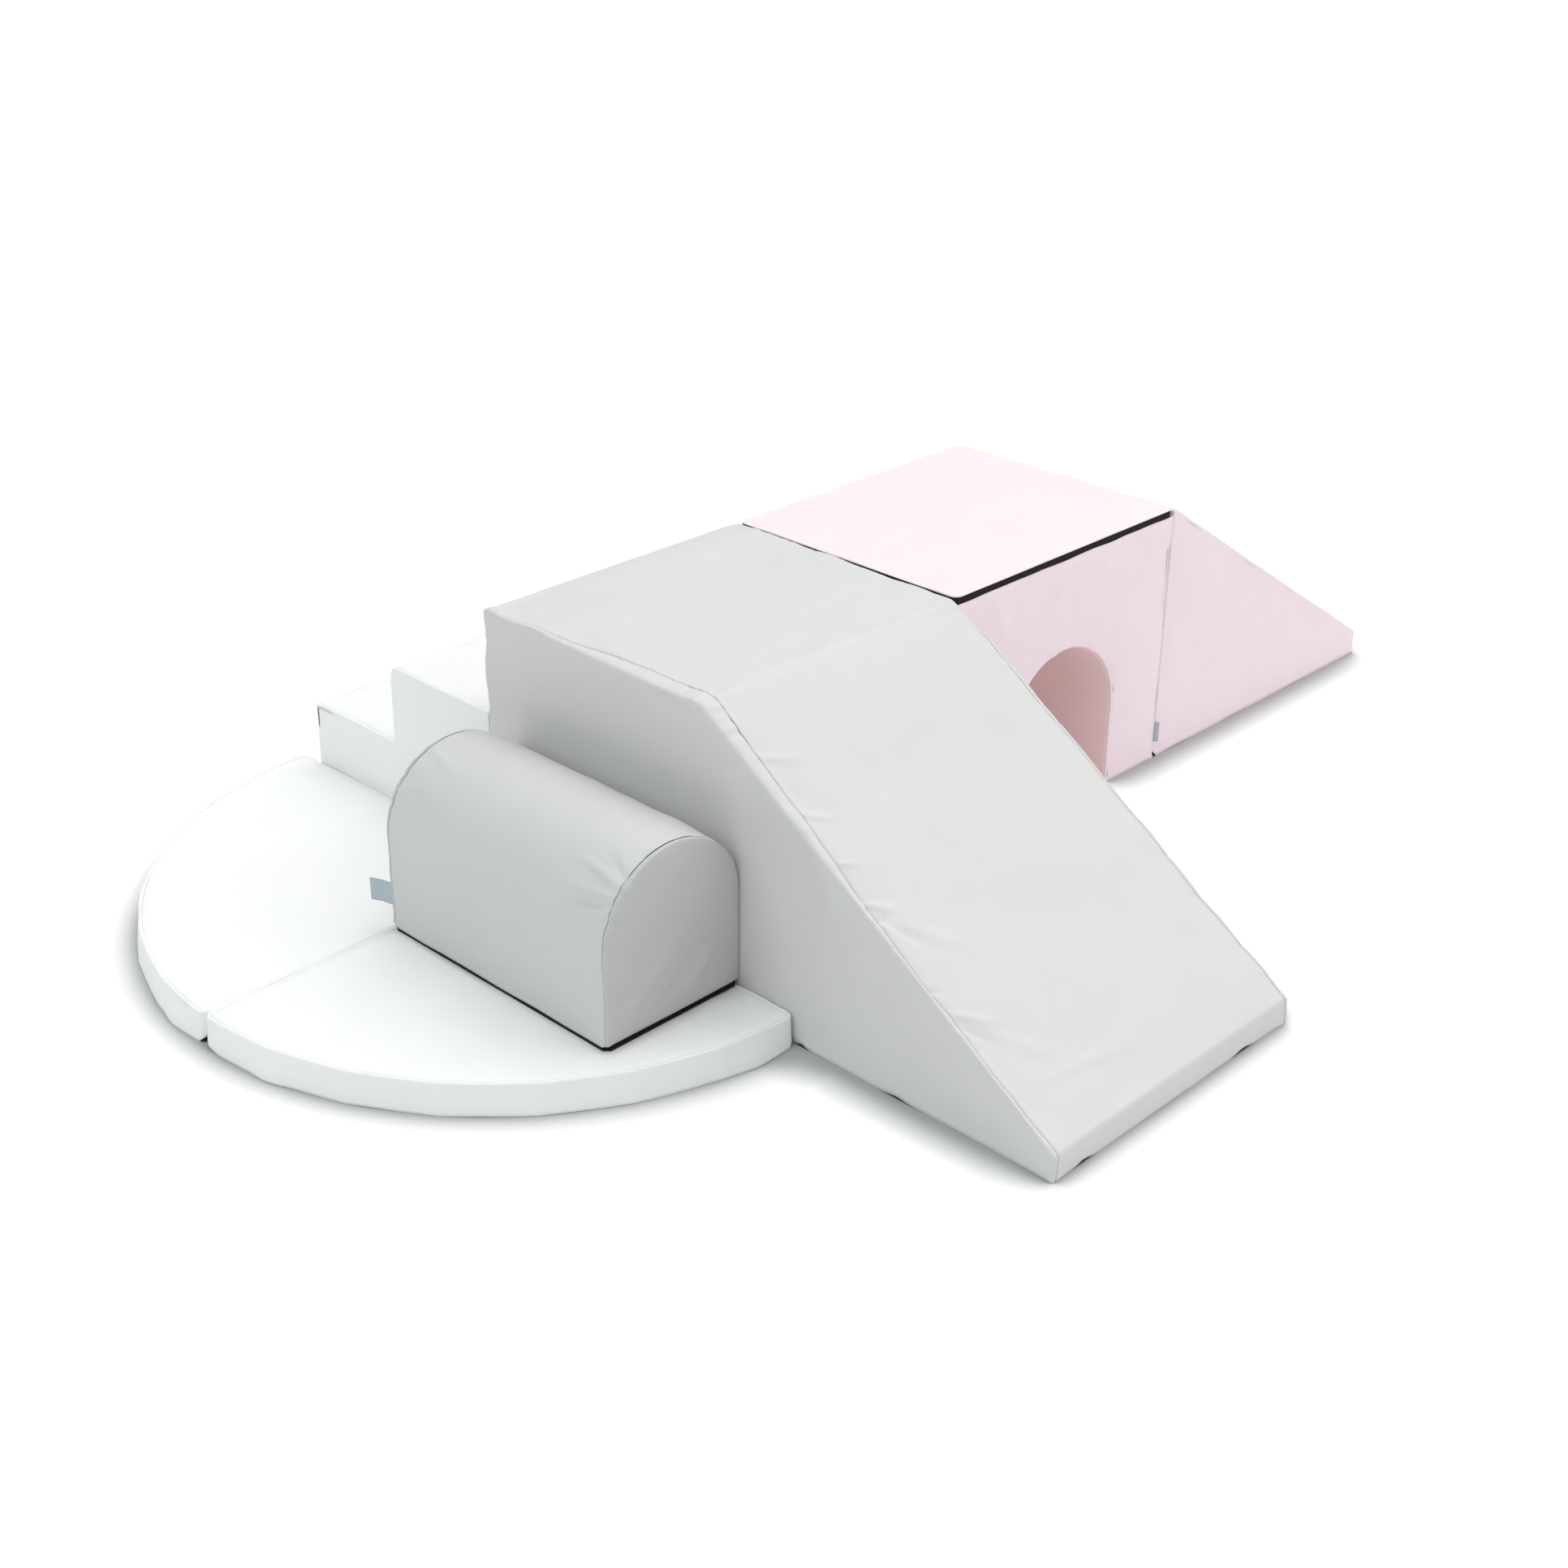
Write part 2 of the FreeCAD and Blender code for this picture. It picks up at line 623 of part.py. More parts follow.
def build_mat(block, turn, hinge_across, hinge_along):
    name = block.name
    form = quarter_round(f"{name}_form", "mat_thickness", rim=True)
    foot = quarter_round(f"{name}_foot", "mat_thickness + 30")
    skin = cover_skin(name, form)
    inner = inset(f"{name}_top_region", foot, "mat_edge_bevel + seam_margin")
    block.piece("foam", foam_core(name, form, foot))
    block.piece("top_panel", common(f"{name}_top", skin, inner))
    block.piece("side_band", cut(f"{name}_band", skin, inner))
    hinge_side = strip_along(block, hinge_across, hinge_along)
    add_base(block, foot, add_zip(block, foot, hinge_side, BAND))
    bearing = f"park_angle + {turn}"
    add_slider(block, f"{block.base[0]} + mat_radius * cos({bearing})",
               f"{block.base[1]} + mat_radius * sin({bearing})", bearing, BAND_MIDDLE)


def build_tunnel():
    """A block with an arch through it. Its zip is under the top panel, because the arch opens below."""
    block = TUNNEL
    centre = "tunnel_width / 2"
    spring = "arch_height - arch_width / 2"
    form = footprint("tunnel", "platform_length", "tunnel_width", f"platform_height + {SKIRT}")

    def arch(name, margin):
        return arched(name, centre, f"arch_width / 2 + {margin}", spring, "platform_length")

    walkway = arch("tunnel_walkway", "0")
    lining_outside = arch("tunnel_lining_outside", "cover_thickness")
    clear_of_lining = arch("tunnel_lining_clearance", "cover_thickness + foam_clearance")
    walls = layer("tunnel_wall_levels", "base_thickness", LID_BAND_LOW)
    lid = layer("tunnel_lid_level", LID_BAND_HIGH, "platform_height")
    band = Band("tunnel_zip", LID_BAND_LOW)

    filling = common("tunnel_filling", inset("tunnel_foam_face", form, "cover_thickness + foam_clearance"),
                     walls)
    behind_zip = common("tunnel_behind_zip", inset("tunnel_relief", form, RELIEF), band.whole)
    block.piece("foam", cut("tunnel_core", fuse("tunnel_block", filling, behind_zip), clear_of_lining))

    ring = cut("tunnel_skin", form, inset("tunnel_lining_face", form, "cover_thickness"))
    skin = cut("tunnel_cover", common("tunnel_wall_ring", ring, walls), clear_of_lining)
    everywhere = (f"-{REACH}", f"{REACH}")
    front_seam = f"platform_length - ({SEAM})"
    between = (SEAM, front_seam)
    regions = {"back_panel": ((f"-{REACH}", SEAM), everywhere),
               "front_panel": ((front_seam, f"{REACH}"), everywhere),
               "left_wall": (between, (f"-{REACH}", centre)),
               "right_wall": (between, (centre, f"{REACH}"))}
    for panel, (across, along) in regions.items():
        region = slab(f"tunnel_{panel}_region", across, along, everywhere)
        block.piece(panel, common(f"tunnel_{panel}_cut", skin, region))

    lining = cut("tunnel_lining_shell", lining_outside, walkway)
    block.piece("arch_lining", common("tunnel_lining", lining, walls))
    plate = common("tunnel_plate", form, BASE_LAYER)
    block.piece("base", cut("tunnel_feet", plate, walkway))

    hinge_side = strip_along(block, (f"-{REACH}", "platform_length - zip_return"),
                             (f"tunnel_width - ({SEAM})", f"{REACH}"))
    hinge_strip = add_zip(block, form, hinge_side, band)
    block.piece("top_panel", fuse("tunnel_lid", common("tunnel_lid_plate", form, lid), hinge_strip))
    add_slider(block, BACK, f"{TUNNEL_SIDE} + tunnel_width - ({PARK})", "180",
               f"{LID_BAND_LOW} + zip_band / 2")


# ---------------------------------------------------------------- check and write


def check(objects):
    """Stop if an object failed to compute or a node isn't a whole, valid solid."""
    for item in doc.Objects:
        if {"Invalid", "Error"} & set(item.State):
            raise RuntimeError(f"{item.Label}: {item.State}")
    labels = [item.Label for item in objects]
    if len(set(labels)) != len(labels):
        raise RuntimeError("two nodes share a name")
    for item in objects:
        if item.Shape.isNull() or not item.Shape.isValid() or not item.Shape.Solids:
            raise RuntimeError(f"{item.Label}: no valid solid")


fill_sheet()
BASE_LAYER = layer("base_level", "0", "base_thickness")
ABOVE_BAND = layer("cover_levels", BAND_TOP, f"{REACH}")
BAND = Band("zip", "base_thickness")

build_slide()
build_stairs()
build_tunnel()
build_ramp()
build_half_round()
build_mat(LEFT_MAT, 180, (f"-{REACH}", f"{REACH}"), (f"-{REACH}", "mat_corner_bevel"))
build_mat(RIGHT_MAT, -90, (f"-{REACH}", "mat_corner_bevel"), (f"-{REACH}", f"{REACH}"))

doc.recompute()
check(nodes)
os.makedirs("parts", exist_ok=True)
for node in nodes:
    node.Shape.exportStep(f"parts/{node.Label}.step")
    print(f"{node.Label}: {len(node.Shape.Solids)} solid(s), {node.Shape.Volume / 1000:.1f} cm3")
print(f"{len(nodes)} nodes")
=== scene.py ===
"""Looks of the soft play climbing set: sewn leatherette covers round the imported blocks.

Each cover is a net drawn round its block: rings across the strip from one flat end to the other,
and a fine net of triangles in each flat end. The net is crowned, puckered along its seams and
creased, and is then divided into its sewn panels. Metres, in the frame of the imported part.
"""
import math

import bmesh
import bpy
import numpy as np
from mathutils import Matrix, Vector
from mathutils.geometry import delaunay_2d_cdt

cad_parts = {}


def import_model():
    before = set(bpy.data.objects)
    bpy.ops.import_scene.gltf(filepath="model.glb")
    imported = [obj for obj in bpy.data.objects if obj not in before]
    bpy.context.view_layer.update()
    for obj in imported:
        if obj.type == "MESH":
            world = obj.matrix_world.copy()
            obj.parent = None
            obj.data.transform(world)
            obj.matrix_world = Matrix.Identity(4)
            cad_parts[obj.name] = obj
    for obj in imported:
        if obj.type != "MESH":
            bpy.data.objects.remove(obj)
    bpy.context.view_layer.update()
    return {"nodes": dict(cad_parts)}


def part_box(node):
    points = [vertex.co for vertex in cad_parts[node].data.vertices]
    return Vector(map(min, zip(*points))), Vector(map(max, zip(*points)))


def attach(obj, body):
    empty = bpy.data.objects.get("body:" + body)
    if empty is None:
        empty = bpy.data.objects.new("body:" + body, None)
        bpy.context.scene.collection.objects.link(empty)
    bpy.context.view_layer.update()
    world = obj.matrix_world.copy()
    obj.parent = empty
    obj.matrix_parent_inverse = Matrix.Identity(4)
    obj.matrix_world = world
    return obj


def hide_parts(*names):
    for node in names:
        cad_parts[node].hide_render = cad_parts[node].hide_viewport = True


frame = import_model()

# How a leatherette cover lies on its foam.
RIM = 0.004             # radius of the rims beside a seam
PAST = 0.002            # from the end of the rim to the seam
CORNER = 0.0065         # radius of the edges across a block
TOE = 0.010             # radius of the edges of a low toe
KINK = 0.018            # radius of the slide's kink
RISER_FOOT = 0.004      # radius below the upper riser of the stairs
RISER_TOP = 0.020       # radius above it
COVER = 0.0012          # thickness of the cover
SHARP = 0.05            # corners of a smaller radius hold the cover down
SLIT = 0.0004           # half of the slit between two sewn panels, where it gapes
LIP = 0.0035            # seam allowance turned inside
HEM_UP = 0.008          # hem turned up inside
GROOVE = 0.0016         # depth of a seam
HEM_FLARE = 0.001       # a hem stands off the edge of its base
FLARE_REACH = 0.014     # height over which it comes back
PRESSED = 0.0003        # how far a face may swell towards a neighbour
FREE = 0.006            # how far it may swell elsewhere
HELD = -0.003           # how far it may sink
LONG_WAVE, SHORT_WAVE = 0.24, 0.09      # lengths of the waves in a panel
SEAM_WAVE = 0.11        # length of the waves along a seam
WOBBLE_REACH = 0.03     # how far from the seam they reach
GAPE_WAVE = 0.30        # length over which a seam opens and closes
CORE_DEPTH = 0.007      # from the cover's face to the foam
CORE_LIFT = 0.0005      # from the base cloth to the foam
CORE_FACES = 0.12       # share of its faces that a foam core keeps

FLOOR_HEM = 0.0004      # a loose hem hangs over its zip, down to the floor
ZIP_HEM = 0.0125        # a hem that stops above its zip
HEM_START = 0.002       # where a cover's net starts, on top of the base cloth
HEM_REACH = 0.040       # height over which a hem's lift fades out

ZIP_BAND = 0.010        # tape in a closed zip
TAPE = 0.0008           # thickness of the tape
TAPE_SHOWN = 0.0022     # more of the tunnel's tape is shown, since its hem is lower
ZIP_RETURN = 0.060      # how far the tunnel's zip runs round the hinge side's corners

# Forms of single blocks.
TOE_SAG = 0.010         # the slide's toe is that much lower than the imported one
END_BULGE = 0.009       # the ends of the half-round block bulge
HALF_HEM = ZIP_HEM - 0.0008     # hem of the half-round block
LID_CORNER = 0.014      # corners of the lid in plan
LID_LIP = 0.0022        # radius of the lid's rim
ZIP_CORNER = 0.011      # radius of the tunnel's zip in plan
COIL = 0.0007           # coil past the face of its tape
TAG_HALF = 0.00045      # half of a ribbon's thickness
MAT_RIM = 0.004         # radius of a mat's rim
MAT_SEAM = 0.0066       # from a mat's side to the seam on its top
MAT_CORNER = 0.016      # upright corners of a mat
FACETS = 7              # straight cuts in the arc of a mat's foam
BAND_LEAN = 0.0048      # a mat's band leans out over its zip

NET = 0.004             # net along a seam
FACE_NET = 0.009        # net in the middle of a panel
WIDE_NET = 0.014        # net across a strip
RIM_STEPS = 4           # rings round a rim
BAND_RINGS = 9          # rings up a mat's side
TOP_RINGS = 5           # rings on a mat's top
TAG_COLUMNS, TAG_ROWS = 29, 15          # points along a ribbon tag and up it
TAG_SMOOTHINGS = 6      # passes that soften the bends of its route
FREE_FROM = 0.12        # a cover swells freely that far from the corners that hold it down
SEAM_FROM = 0.09        # and that far from its seam
DRIFTED = 0.035         # width of net that moves with a seam that drifts
NEAR_SEAM = (-0.0022, -0.0009, 0.0, 0.0009, 0.0022, 0.0045, 0.008, 0.0125, 0.018, 0.025, 0.034, 0.045)
OTHER_END = 50.0        # added to the measure along the second of a cover's two seams
SIDE_LEAD = 3.0         # added once more for each further strip of the tunnel block
FLOOR_HALF = 60.0       # half of the floor's side
TINY = 1e-6             # shorter than any edge of a net
EPSILON = 1e-4          # points within this are on a level


# ---------------------------------------------------------------- profiles


class Path:
    """Points of a profile, each with its unit direction into the block."""

    def __init__(self, points, inward, breaks=()):
        self.points = np.array(points)
        self.inward = np.array(inward)
        steps = np.linalg.norm(np.diff(self.points, axis=0), axis=1)
        self.along = np.concatenate([[0.0], np.cumsum(steps)])
        held = [0.0, self.along[-1]] + [self.along[index] for index in breaks]
        self.free = np.abs(self.along[:, None] - np.array(held)).min(axis=1)

    def at(self, depth):
        """The profile, set inwards by a depth for each point."""
        return self.points + self.inward * np.broadcast_to(depth, len(self.points))[:, None]


def turned(vector, angle):
    cos, sin = math.cos(angle), math.sin(angle)
    return np.array([cos * vector[0] - sin * vector[1], sin * vector[0] + cos * vector[1]])


def rounded(corners, radii=()):
    """An open profile with rounded inner corners, whose inside is on its right."""
    corners = np.array(corners, float)
    edges = np.diff(corners, axis=0)
    edges /= np.linalg.norm(edges, axis=1)[:, None]
    points, inward, breaks = [corners[0]], [turned(edges[0], -math.pi / 2)], []
    for index, edge in enumerate(edges):
        side = turned(edge, -math.pi / 2)
        end, turn = corners[index + 1], 0.0
        if index < len(edges) - 1:
            ahead = edges[index + 1]
            turn = math.atan2(edge[0] * ahead[1] - edge[1] * ahead[0], edge @ ahead)
            radius = radii[index]
            end = end - edge * radius * math.tan(abs(turn) / 2)
        length = np.linalg.norm(end - points[-1])
        if length > 1e-4:
            start, count = points[-1], max(1, round(length / NET))
            points += [start + (end - start) * step / count for step in range(1, count + 1)]
            inward += [side] * count
        if turn:
            arm = side * (-radius if turn < 0 else radius)
            count = max(6, round(abs(turn) * radius / NET))
            if radius < SHARP:
                breaks.append(len(points) + count // 2)
            points += [end - arm + turned(arm, turn * step / count) for step in range(1, count + 1)]
            inward += [turned(side, turn * step / count) for step in range(1, count + 1)]
    return Path(points, inward, breaks)


def fade(distance, reach):
    """From nothing at an edge to all of it, once as far from the edge as reach."""
    return 1 - (1 - np.clip(np.asarray(distance) / reach, 0, 1)) ** 2


# ---------------------------------------------------------------- nets


class Cover:
    """A net of points round a block, and the faces of each of its panels."""

    def __init__(self):
        self.points = np.zeros((0, 3))
        self.marks = np.zeros((0, 3))   # measure along the seam, distance from it, share of the crown
        self.faces = {}

    def add(self, points, along=0.0, seam=-0.2, swell=0.0):
        """Add points and return their numbers."""
        marks = np.zeros((len(points), 3))
        marks[:, 0], marks[:, 1], marks[:, 2] = along, seam, swell
        self.points = np.vstack([self.points, points])
        self.marks = np.vstack([self.marks, marks])
        return np.arange(len(self.points) - len(points), len(self.points))

    def line(self, start, end):
        """Add points between two others, without them."""
        first, last = self.points[start], self.points[end]
        count = max(2, round(np.linalg.norm(last - first) / (2 * NET)))
        return self.add([first + (last - first) * step / count for step in range(1, count)])

    def weave(self, rows, panel):
        """Add the faces between rows of point numbers."""
        rows = np.asarray(rows)
        quads = np.stack([rows[:-1, :-1], rows[1:, :-1], rows[1:, 1:], rows[:-1, 1:]], axis=-1)
        self.faces.setdefault(panel, []).extend(quads.reshape(-1, 4).tolist())

    def fill(self, loop, panel, axes, past, reach=FREE_FROM):
        """Fill a flat loop of points with a net of triangles.

        past is how far the loop itself lies beyond its seam. Hems in the loop have no seam.
        """
        loop = np.asarray(loop)
        rim = self.points[loop][:, axes]
        sewn = self.marks[loop, 1] > -0.1
        inner = grid_inside(rim, FACE_NET)
        gap = np.linalg.norm(inner[:, None] - rim[None], axis=2)
        clear = gap.min(axis=1) > 0.55 * FACE_NET
        inner, gap = inner[clear], gap[clear]
        nearest = gap[:, sewn].argmin(axis=1)
        points = np.zeros((len(inner), 3))
        level = 3 - sum(axes)
        points[:, axes] = inner
        points[:, level] = self.points[loop[0], level]
        numbers = self.add(points, self.marks[loop[sewn], 0][nearest],
                           -past - gap[:, sewn].min(axis=1), fade(gap.min(axis=1), reach))
        every = np.concatenate([loop, numbers])
        border = [(index, (index + 1) % len(loop)) for index in range(len(loop))]
        flat = [Vector(place) for place in np.vstack([rim, inner])]
        result = delaunay_2d_cdt(flat, border, [], 1, 1e-7)
        sources = [origin[0] for origin in result[3]]
        found = [[int(every[sources[corner]]) for corner in face] for face in result[2]]
        self.faces.setdefault(panel, []).extend(found)


def grid_inside(loop, apart):
    """Points of a triangular grid that lie inside a closed loop."""
    low, high = loop.min(axis=0), loop.max(axis=0)
    rows = np.arange(low[1], high[1], apart * math.sqrt(3) / 2)
    grid = np.array([(x + (apart / 2 if number % 2 else 0), y) for number, y in enumerate(rows)
                     for x in np.arange(low[0], high[0], apart)])
    inside = np.zeros(len(grid), bool)
    for start, end in zip(loop, np.roll(loop, -1, axis=0)):
        if start[1] != end[1]:
            between = (grid[:, 1] < start[1]) != (grid[:, 1] < end[1])
            crossing = start[0] + (grid[:, 1] - start[1]) / (end[1] - start[1]) * (end[0] - start[0])
            inside ^= between & (grid[:, 0] < crossing)
    return grid[inside]


def strip_steps(rim, past, width):
    """Distances over the rim, past the seam and to the middle of a strip, and those of rim and seam."""
    edge = rim * math.pi / 2
    seam = edge + past
    middle = edge + width / 2 - rim
    steps = [edge * step / RIM_STEPS for step in range(RIM_STEPS) if edge * step / RIM_STEPS < seam - 0.003]
    steps += [seam + step for step in NEAR_SEAM if seam + step > steps[-1] + 0.0005]
    wide = max(1, round((middle - steps[-1]) / WIDE_NET))
    steps += [steps[-1] + (middle - steps[-1]) * step / wide for step in range(1, wide + 1)]
    return steps, edge, seam


def wrap(cover, path, width, panels, place, rim=RIM, past=PAST, drift=0.0, seed=0, lead=0.0, course=None,
         sink=None):
    """Net the strip round a block from one flat end to the other, over both rims.

    path is the block's profile, and place turns (profile, across) into the part's frame. A seam
    parts panels[0], panels[1] and panels[2]. It drifts a little, course moves it away from the rim,
    and sink lowers the strip between rim and seam, each by (measure along the profile, end).
    Returns the first and last rings, and how far they lie from their seam.
    """
    steps, edge, seam = strip_steps(rim, past, width)
    rows = []
    for end in (0, 1):
        wander = drift * np.sin(path.along * 17 + seed + 2 * end)
        wander = wander + 0.6 * drift * np.sin(path.along * 31 + 2 * seed)
        wander = wander + (course(path.along, end) if course else 0)
        low = sink(path.along, end) if sink else 0
        for step in (steps if end == 0 else steps[-2::-1]):
            reached = step + wander * math.exp(-((step - seam) / DRIFTED) ** 2) * min(1, step / edge) ** 2
            angle = np.clip(reached / rim, 0, math.pi / 2)
            across = rim * (1 - np.cos(angle)) + np.maximum(reached - edge, 0)
            lowered = low * (1 - np.clip((reached - edge) / np.maximum(seam + wander - edge, 0.006), 0, 1))
            flat = path.at(rim * (1 - np.sin(angle)) + lowered)
            points = place(flat, across if end == 0 else width - across)
            swell = fade(path.free, FREE_FROM) * (fade(step - seam, SEAM_FROM) if step > seam else 0)
            rows.append(cover.add(points, path.along + lead + OTHER_END * end, step - seam, swell))
    rows = np.array(rows)
    first = steps.index(seam)
    last = len(rows) - 1 - first
    cover.weave(rows[:first + 1], panels[0])
    cover.weave(rows[first:last + 1], panels[1])
    cover.weave(rows[last:], panels[2])
    return rows[0], rows[-1], seam


def prism(path, width, panels, low, axis, **soft):
    """A cover with a strip round its profile and a flat panel at each end.

    The profile stands across the axis, 0 or 1, and starts at the corner low.
    """
    cover = Cover()
    first, last, past = wrap(cover, path, width, panels, upright(low, axis), **soft)
    for ring, panel in ((first, panels[0]), (last, panels[2])):
        hem = cover.line(ring[-1], ring[0])
        cover.fill(np.concatenate([ring, hem]), panel, [1 - axis, 2], past)
    return cover


# ---------------------------------------------------------------- how leatherette lies


class Waves:
    """A smooth wander in space, the same on every run."""

    def __init__(self, seed, length, count=14):
        random = np.random.default_rng(seed)
        direction = random.normal(size=(count, 3))
        direction /= np.linalg.norm(direction, axis=1)[:, None]
        self.vectors = direction * (2 * math.pi / length * random.uniform(0.6, 1.5, count))[:, None]
        self.phases = random.uniform(0, 2 * math.pi, count)

    def at(self, points):
        return np.sin(points @ self.vectors.T + self.phases).sum(axis=1) / math.sqrt(len(self.phases))


def puckers(along, seam, seed, height, apart=0.024, reach=0.013, spots=()):
    """Small folds that start at a seam and fade away from it.

    spots are stretches of the seam, as (middle, half length, gain), where they are stronger.
    """
    random = np.random.default_rng(seed)
    result = np.zeros(len(along))
    for start in (0.0, OTHER_END):
        near = (np.abs(seam) < 0.06) & (along >= start) & (along < start + OTHER_END)
        if not near.any():
            continue
        measure, away, side = along[near], np.abs(seam[near]), np.sign(seam[near])
        places = measure.min() + np.cumsum(random.uniform(0.4, 1.6, int(np.ptp(measure) / apart)) * apart)
        value = np.zeros(len(measure))
        for place in places:
            strength = random.uniform(0.1, 1.0) ** 2 * random.choice((-1.0, 1.0), p=(0.7, 0.3))
            for middle, half, gain in spots:
                strength *= 1 + gain * math.exp(-((place - middle) / half) ** 2)
            width = random.uniform(0.003, 0.007)
            length = reach * random.uniform(0.6, 1.9)
            slant = random.uniform(-0.6, 0.6)
            kept = np.where(side == random.choice((-1, 1)), 1.0, random.uniform(0.1, 1.0))
            line = (measure - place - slant * away) / (width + 0.15 * away)
            value += strength * kept * np.exp(-line ** 2 - (away / length) ** 1.5)
        result[near] = value * height
    return result


def crease(points, start, end, width, height):
    """A soft fold between two points, with a shallow valley beside it."""
    start, end = np.array(start), np.array(end)
    line = end - start
    share = np.clip(((points - start) @ line) / (line @ line), 0, 1)
    away = np.linalg.norm(points - start - share[:, None] * line, axis=1)
    ratio = (away / width) ** 2
    return height * (1 - 0.8 * ratio) * np.exp(-ratio) * np.sin(math.pi * (0.06 + 0.88 * share)) ** 0.8


def groove(seam):
    """The valley of a seam, with the two panels rolling up out of it."""
    away = np.abs(seam)
    return 0.0007 * np.exp(-((away - 0.0045) / 0.003) ** 2) - GROOVE * np.exp(-away / 0.0011)


def room(points, normals, pressed):
    """How far each point may swell. pressed has (direction, test of points) for each neighbour."""
    limit = np.full(len(points), FREE)
    for direction, near in pressed:
        share = np.clip((normals @ np.array(direction) - 0.5) / 0.3, 0, 1) * near(points)
        limit = limit * (1 - share) + PRESSED * share
    return limit


def everywhere(points):
    return np.ones(len(points))


# ---------------------------------------------------------------- from net to sewn cover


def edited(mesh, *changes):
    """Change a mesh in place. Each change takes the mesh in bmesh form."""
    work = bmesh.new()
    work.from_mesh(mesh)
    for change in changes:
        change(work)
    work.to_mesh(mesh)
    work.free()


def join_close(work):
    bmesh.ops.remove_doubles(work, verts=work.verts, dist=TINY)


def face_outwards(work):
    bmesh.ops.recalc_face_normals(work, faces=work.faces)


def outward_normals(cover):
    """Unit normals of a net's points, and its faces turned to face outwards."""
    panels = [(panel, face) for panel, faces in cover.faces.items() for face in faces]
    shell = bpy.data.meshes.new("shell")
    shell.from_pydata(cover.points.tolist(), [], [face for panel, face in panels])
    edited(shell, face_outwards)
    normals = np.zeros(len(cover.points) * 3)
    shell.vertices.foreach_get("normal", normals)
    faces = {}
    for polygon, (panel, face) in zip(shell.polygons, panels):
        faces.setdefault(panel, []).append(list(polygon.vertices))
    bpy.data.meshes.remove(shell)
    return normals.reshape(-1, 3), faces


def gaping(points):
    """How far the slit gapes along a seam, from 0.3 to 2."""
    return np.clip(0.85 + 0.8 * Waves(99, GAPE_WAVE).at(points), 0.3, 2)


def free_edges(points, faces):
    """The edges that only one face has, each with the middle of that face."""
    sides = {}
    for face in faces:
        middle = points[face].mean(axis=0)
        for start, end in zip(face, face[1:] + face[:1]):
            key = (min(start, end), max(start, end))
            sides[key] = None if key in sides else ((start, end), middle)
    return [side for side in sides.values() if side]


def part_seams(points, free, hem, gape):
    """Draw the sewn edges of a panel back from the seam, by half of the slit."""
    drawn = {}
    for side, middle in free:
        if not (hem[side[0]] and hem[side[1]]):
            for corner in side:
                drawn.setdefault(corner, []).append(middle - points[corner])
    moved, slit = points.copy(), SLIT * gape(points)
    for corner, ways in drawn.items():
        way = np.mean(ways, axis=0)
        moved[corner] += way / max(np.linalg.norm(way), TINY) * slit[corner]
    return moved


def turn_in(points, normals, faces, hem, gape):
    """The points and faces of one panel with its free edges turned in.

    hem is 1 where an edge turns up inside, -1 where it turns down and 0 at a seam. gape says how
    wide the slit between two panels is.
    """
    free = free_edges(points, faces)
    moved, extra, grown, known = part_seams(points, free, hem, gape), [], list(faces), {}
    for side, _ in free:
        kind = hem[side[0]] if hem[side[0]] == hem[side[1]] else 0
        folds = ((COVER, 0.0), (COVER, HEM_UP * kind)) if kind else ((LIP, 0.0),)
        last = list(side)
        for number, (inward, up) in enumerate(folds):
            ahead = []
            for corner in side:
                name = (corner, kind, number)
                if name not in known:
                    normal = normals[corner] * ((1, 1, 0) if kind else (1, 1, 1))
                    normal = normal / max(np.linalg.norm(normal), TINY)
                    known[name] = len(points) + len(extra)
                    extra.append(moved[corner] - normal * inward + np.array((0, 0, up)))
                ahead.append(known[name])
            grown.append([last[1], last[0], ahead[0], ahead[1]])
            last = ahead
    return np.vstack([moved, extra]) if extra else moved, grown


def add_object(name, data):
    obj = bpy.data.objects.new(name, data)
    bpy.context.scene.collection.objects.link(obj)
    return obj


def new_object(name, points, faces, material):
    """A smooth mesh of the points that its faces use."""
    mesh = bpy.data.meshes.new(name)
    used = np.unique(np.concatenate([np.array(face) for face in faces]))
    place = dict(zip(used.tolist(), range(len(used))))
    mesh.from_pydata(points[used].tolist(), [], [[place[corner] for corner in face] for face in faces])
    mesh.materials.append(material)
    mesh.polygons.foreach_set("use_smooth", [True] * len(mesh.polygons))
    return add_object(name, mesh)


def foam_core(body, points, faces):
    """The block of foam inside a cover, closed below, with few faces."""
    everything = [face for panel in faces.values() for face in panel]
    obj = new_object(f"{body}_foam_core", points, everything, PAINTS["foam"])
    edited(obj.data, lambda work: bmesh.ops.holes_fill(
        work, edges=[edge for edge in work.edges if edge.is_boundary]))
    fewer = obj.modifiers.new("fewer faces", "DECIMATE")
    fewer.ratio = CORE_FACES
    apply_modifiers(obj)
    deeper = np.array([vertex.co - vertex.normal * CORE_DEPTH for vertex in obj.data.vertices])
    deeper[:, 2] = np.maximum(deeper[:, 2], box_of(f"{body}_base")[1][2] + CORE_LIFT)
    obj.data.vertices.foreach_set("co", deeper.ravel())
    finish_piece(obj, body, "foam", (f"{body}_foam",))


def apply_modifiers(obj):
    """Keep what the modifiers make of a mesh, without them."""
    made = obj.evaluated_get(bpy.context.evaluated_depsgraph_get())
    mesh = bpy.data.meshes.new_from_object(made)
    obj.modifiers.clear()
    obj.data = mesh


def finish_piece(obj, body, slot, nodes):
    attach(obj, body)
    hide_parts(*nodes)


def plain_piece(name, cover, faces, paint, body, node):
    """A piece that isn't padded, from a closed net."""
    obj = new_object(name, cover.points, faces, PAINTS[paint])
    edited(obj.data, join_close, face_outwards)
    finish_piece(obj, body, node.removeprefix(f"{body}_"), (node,))


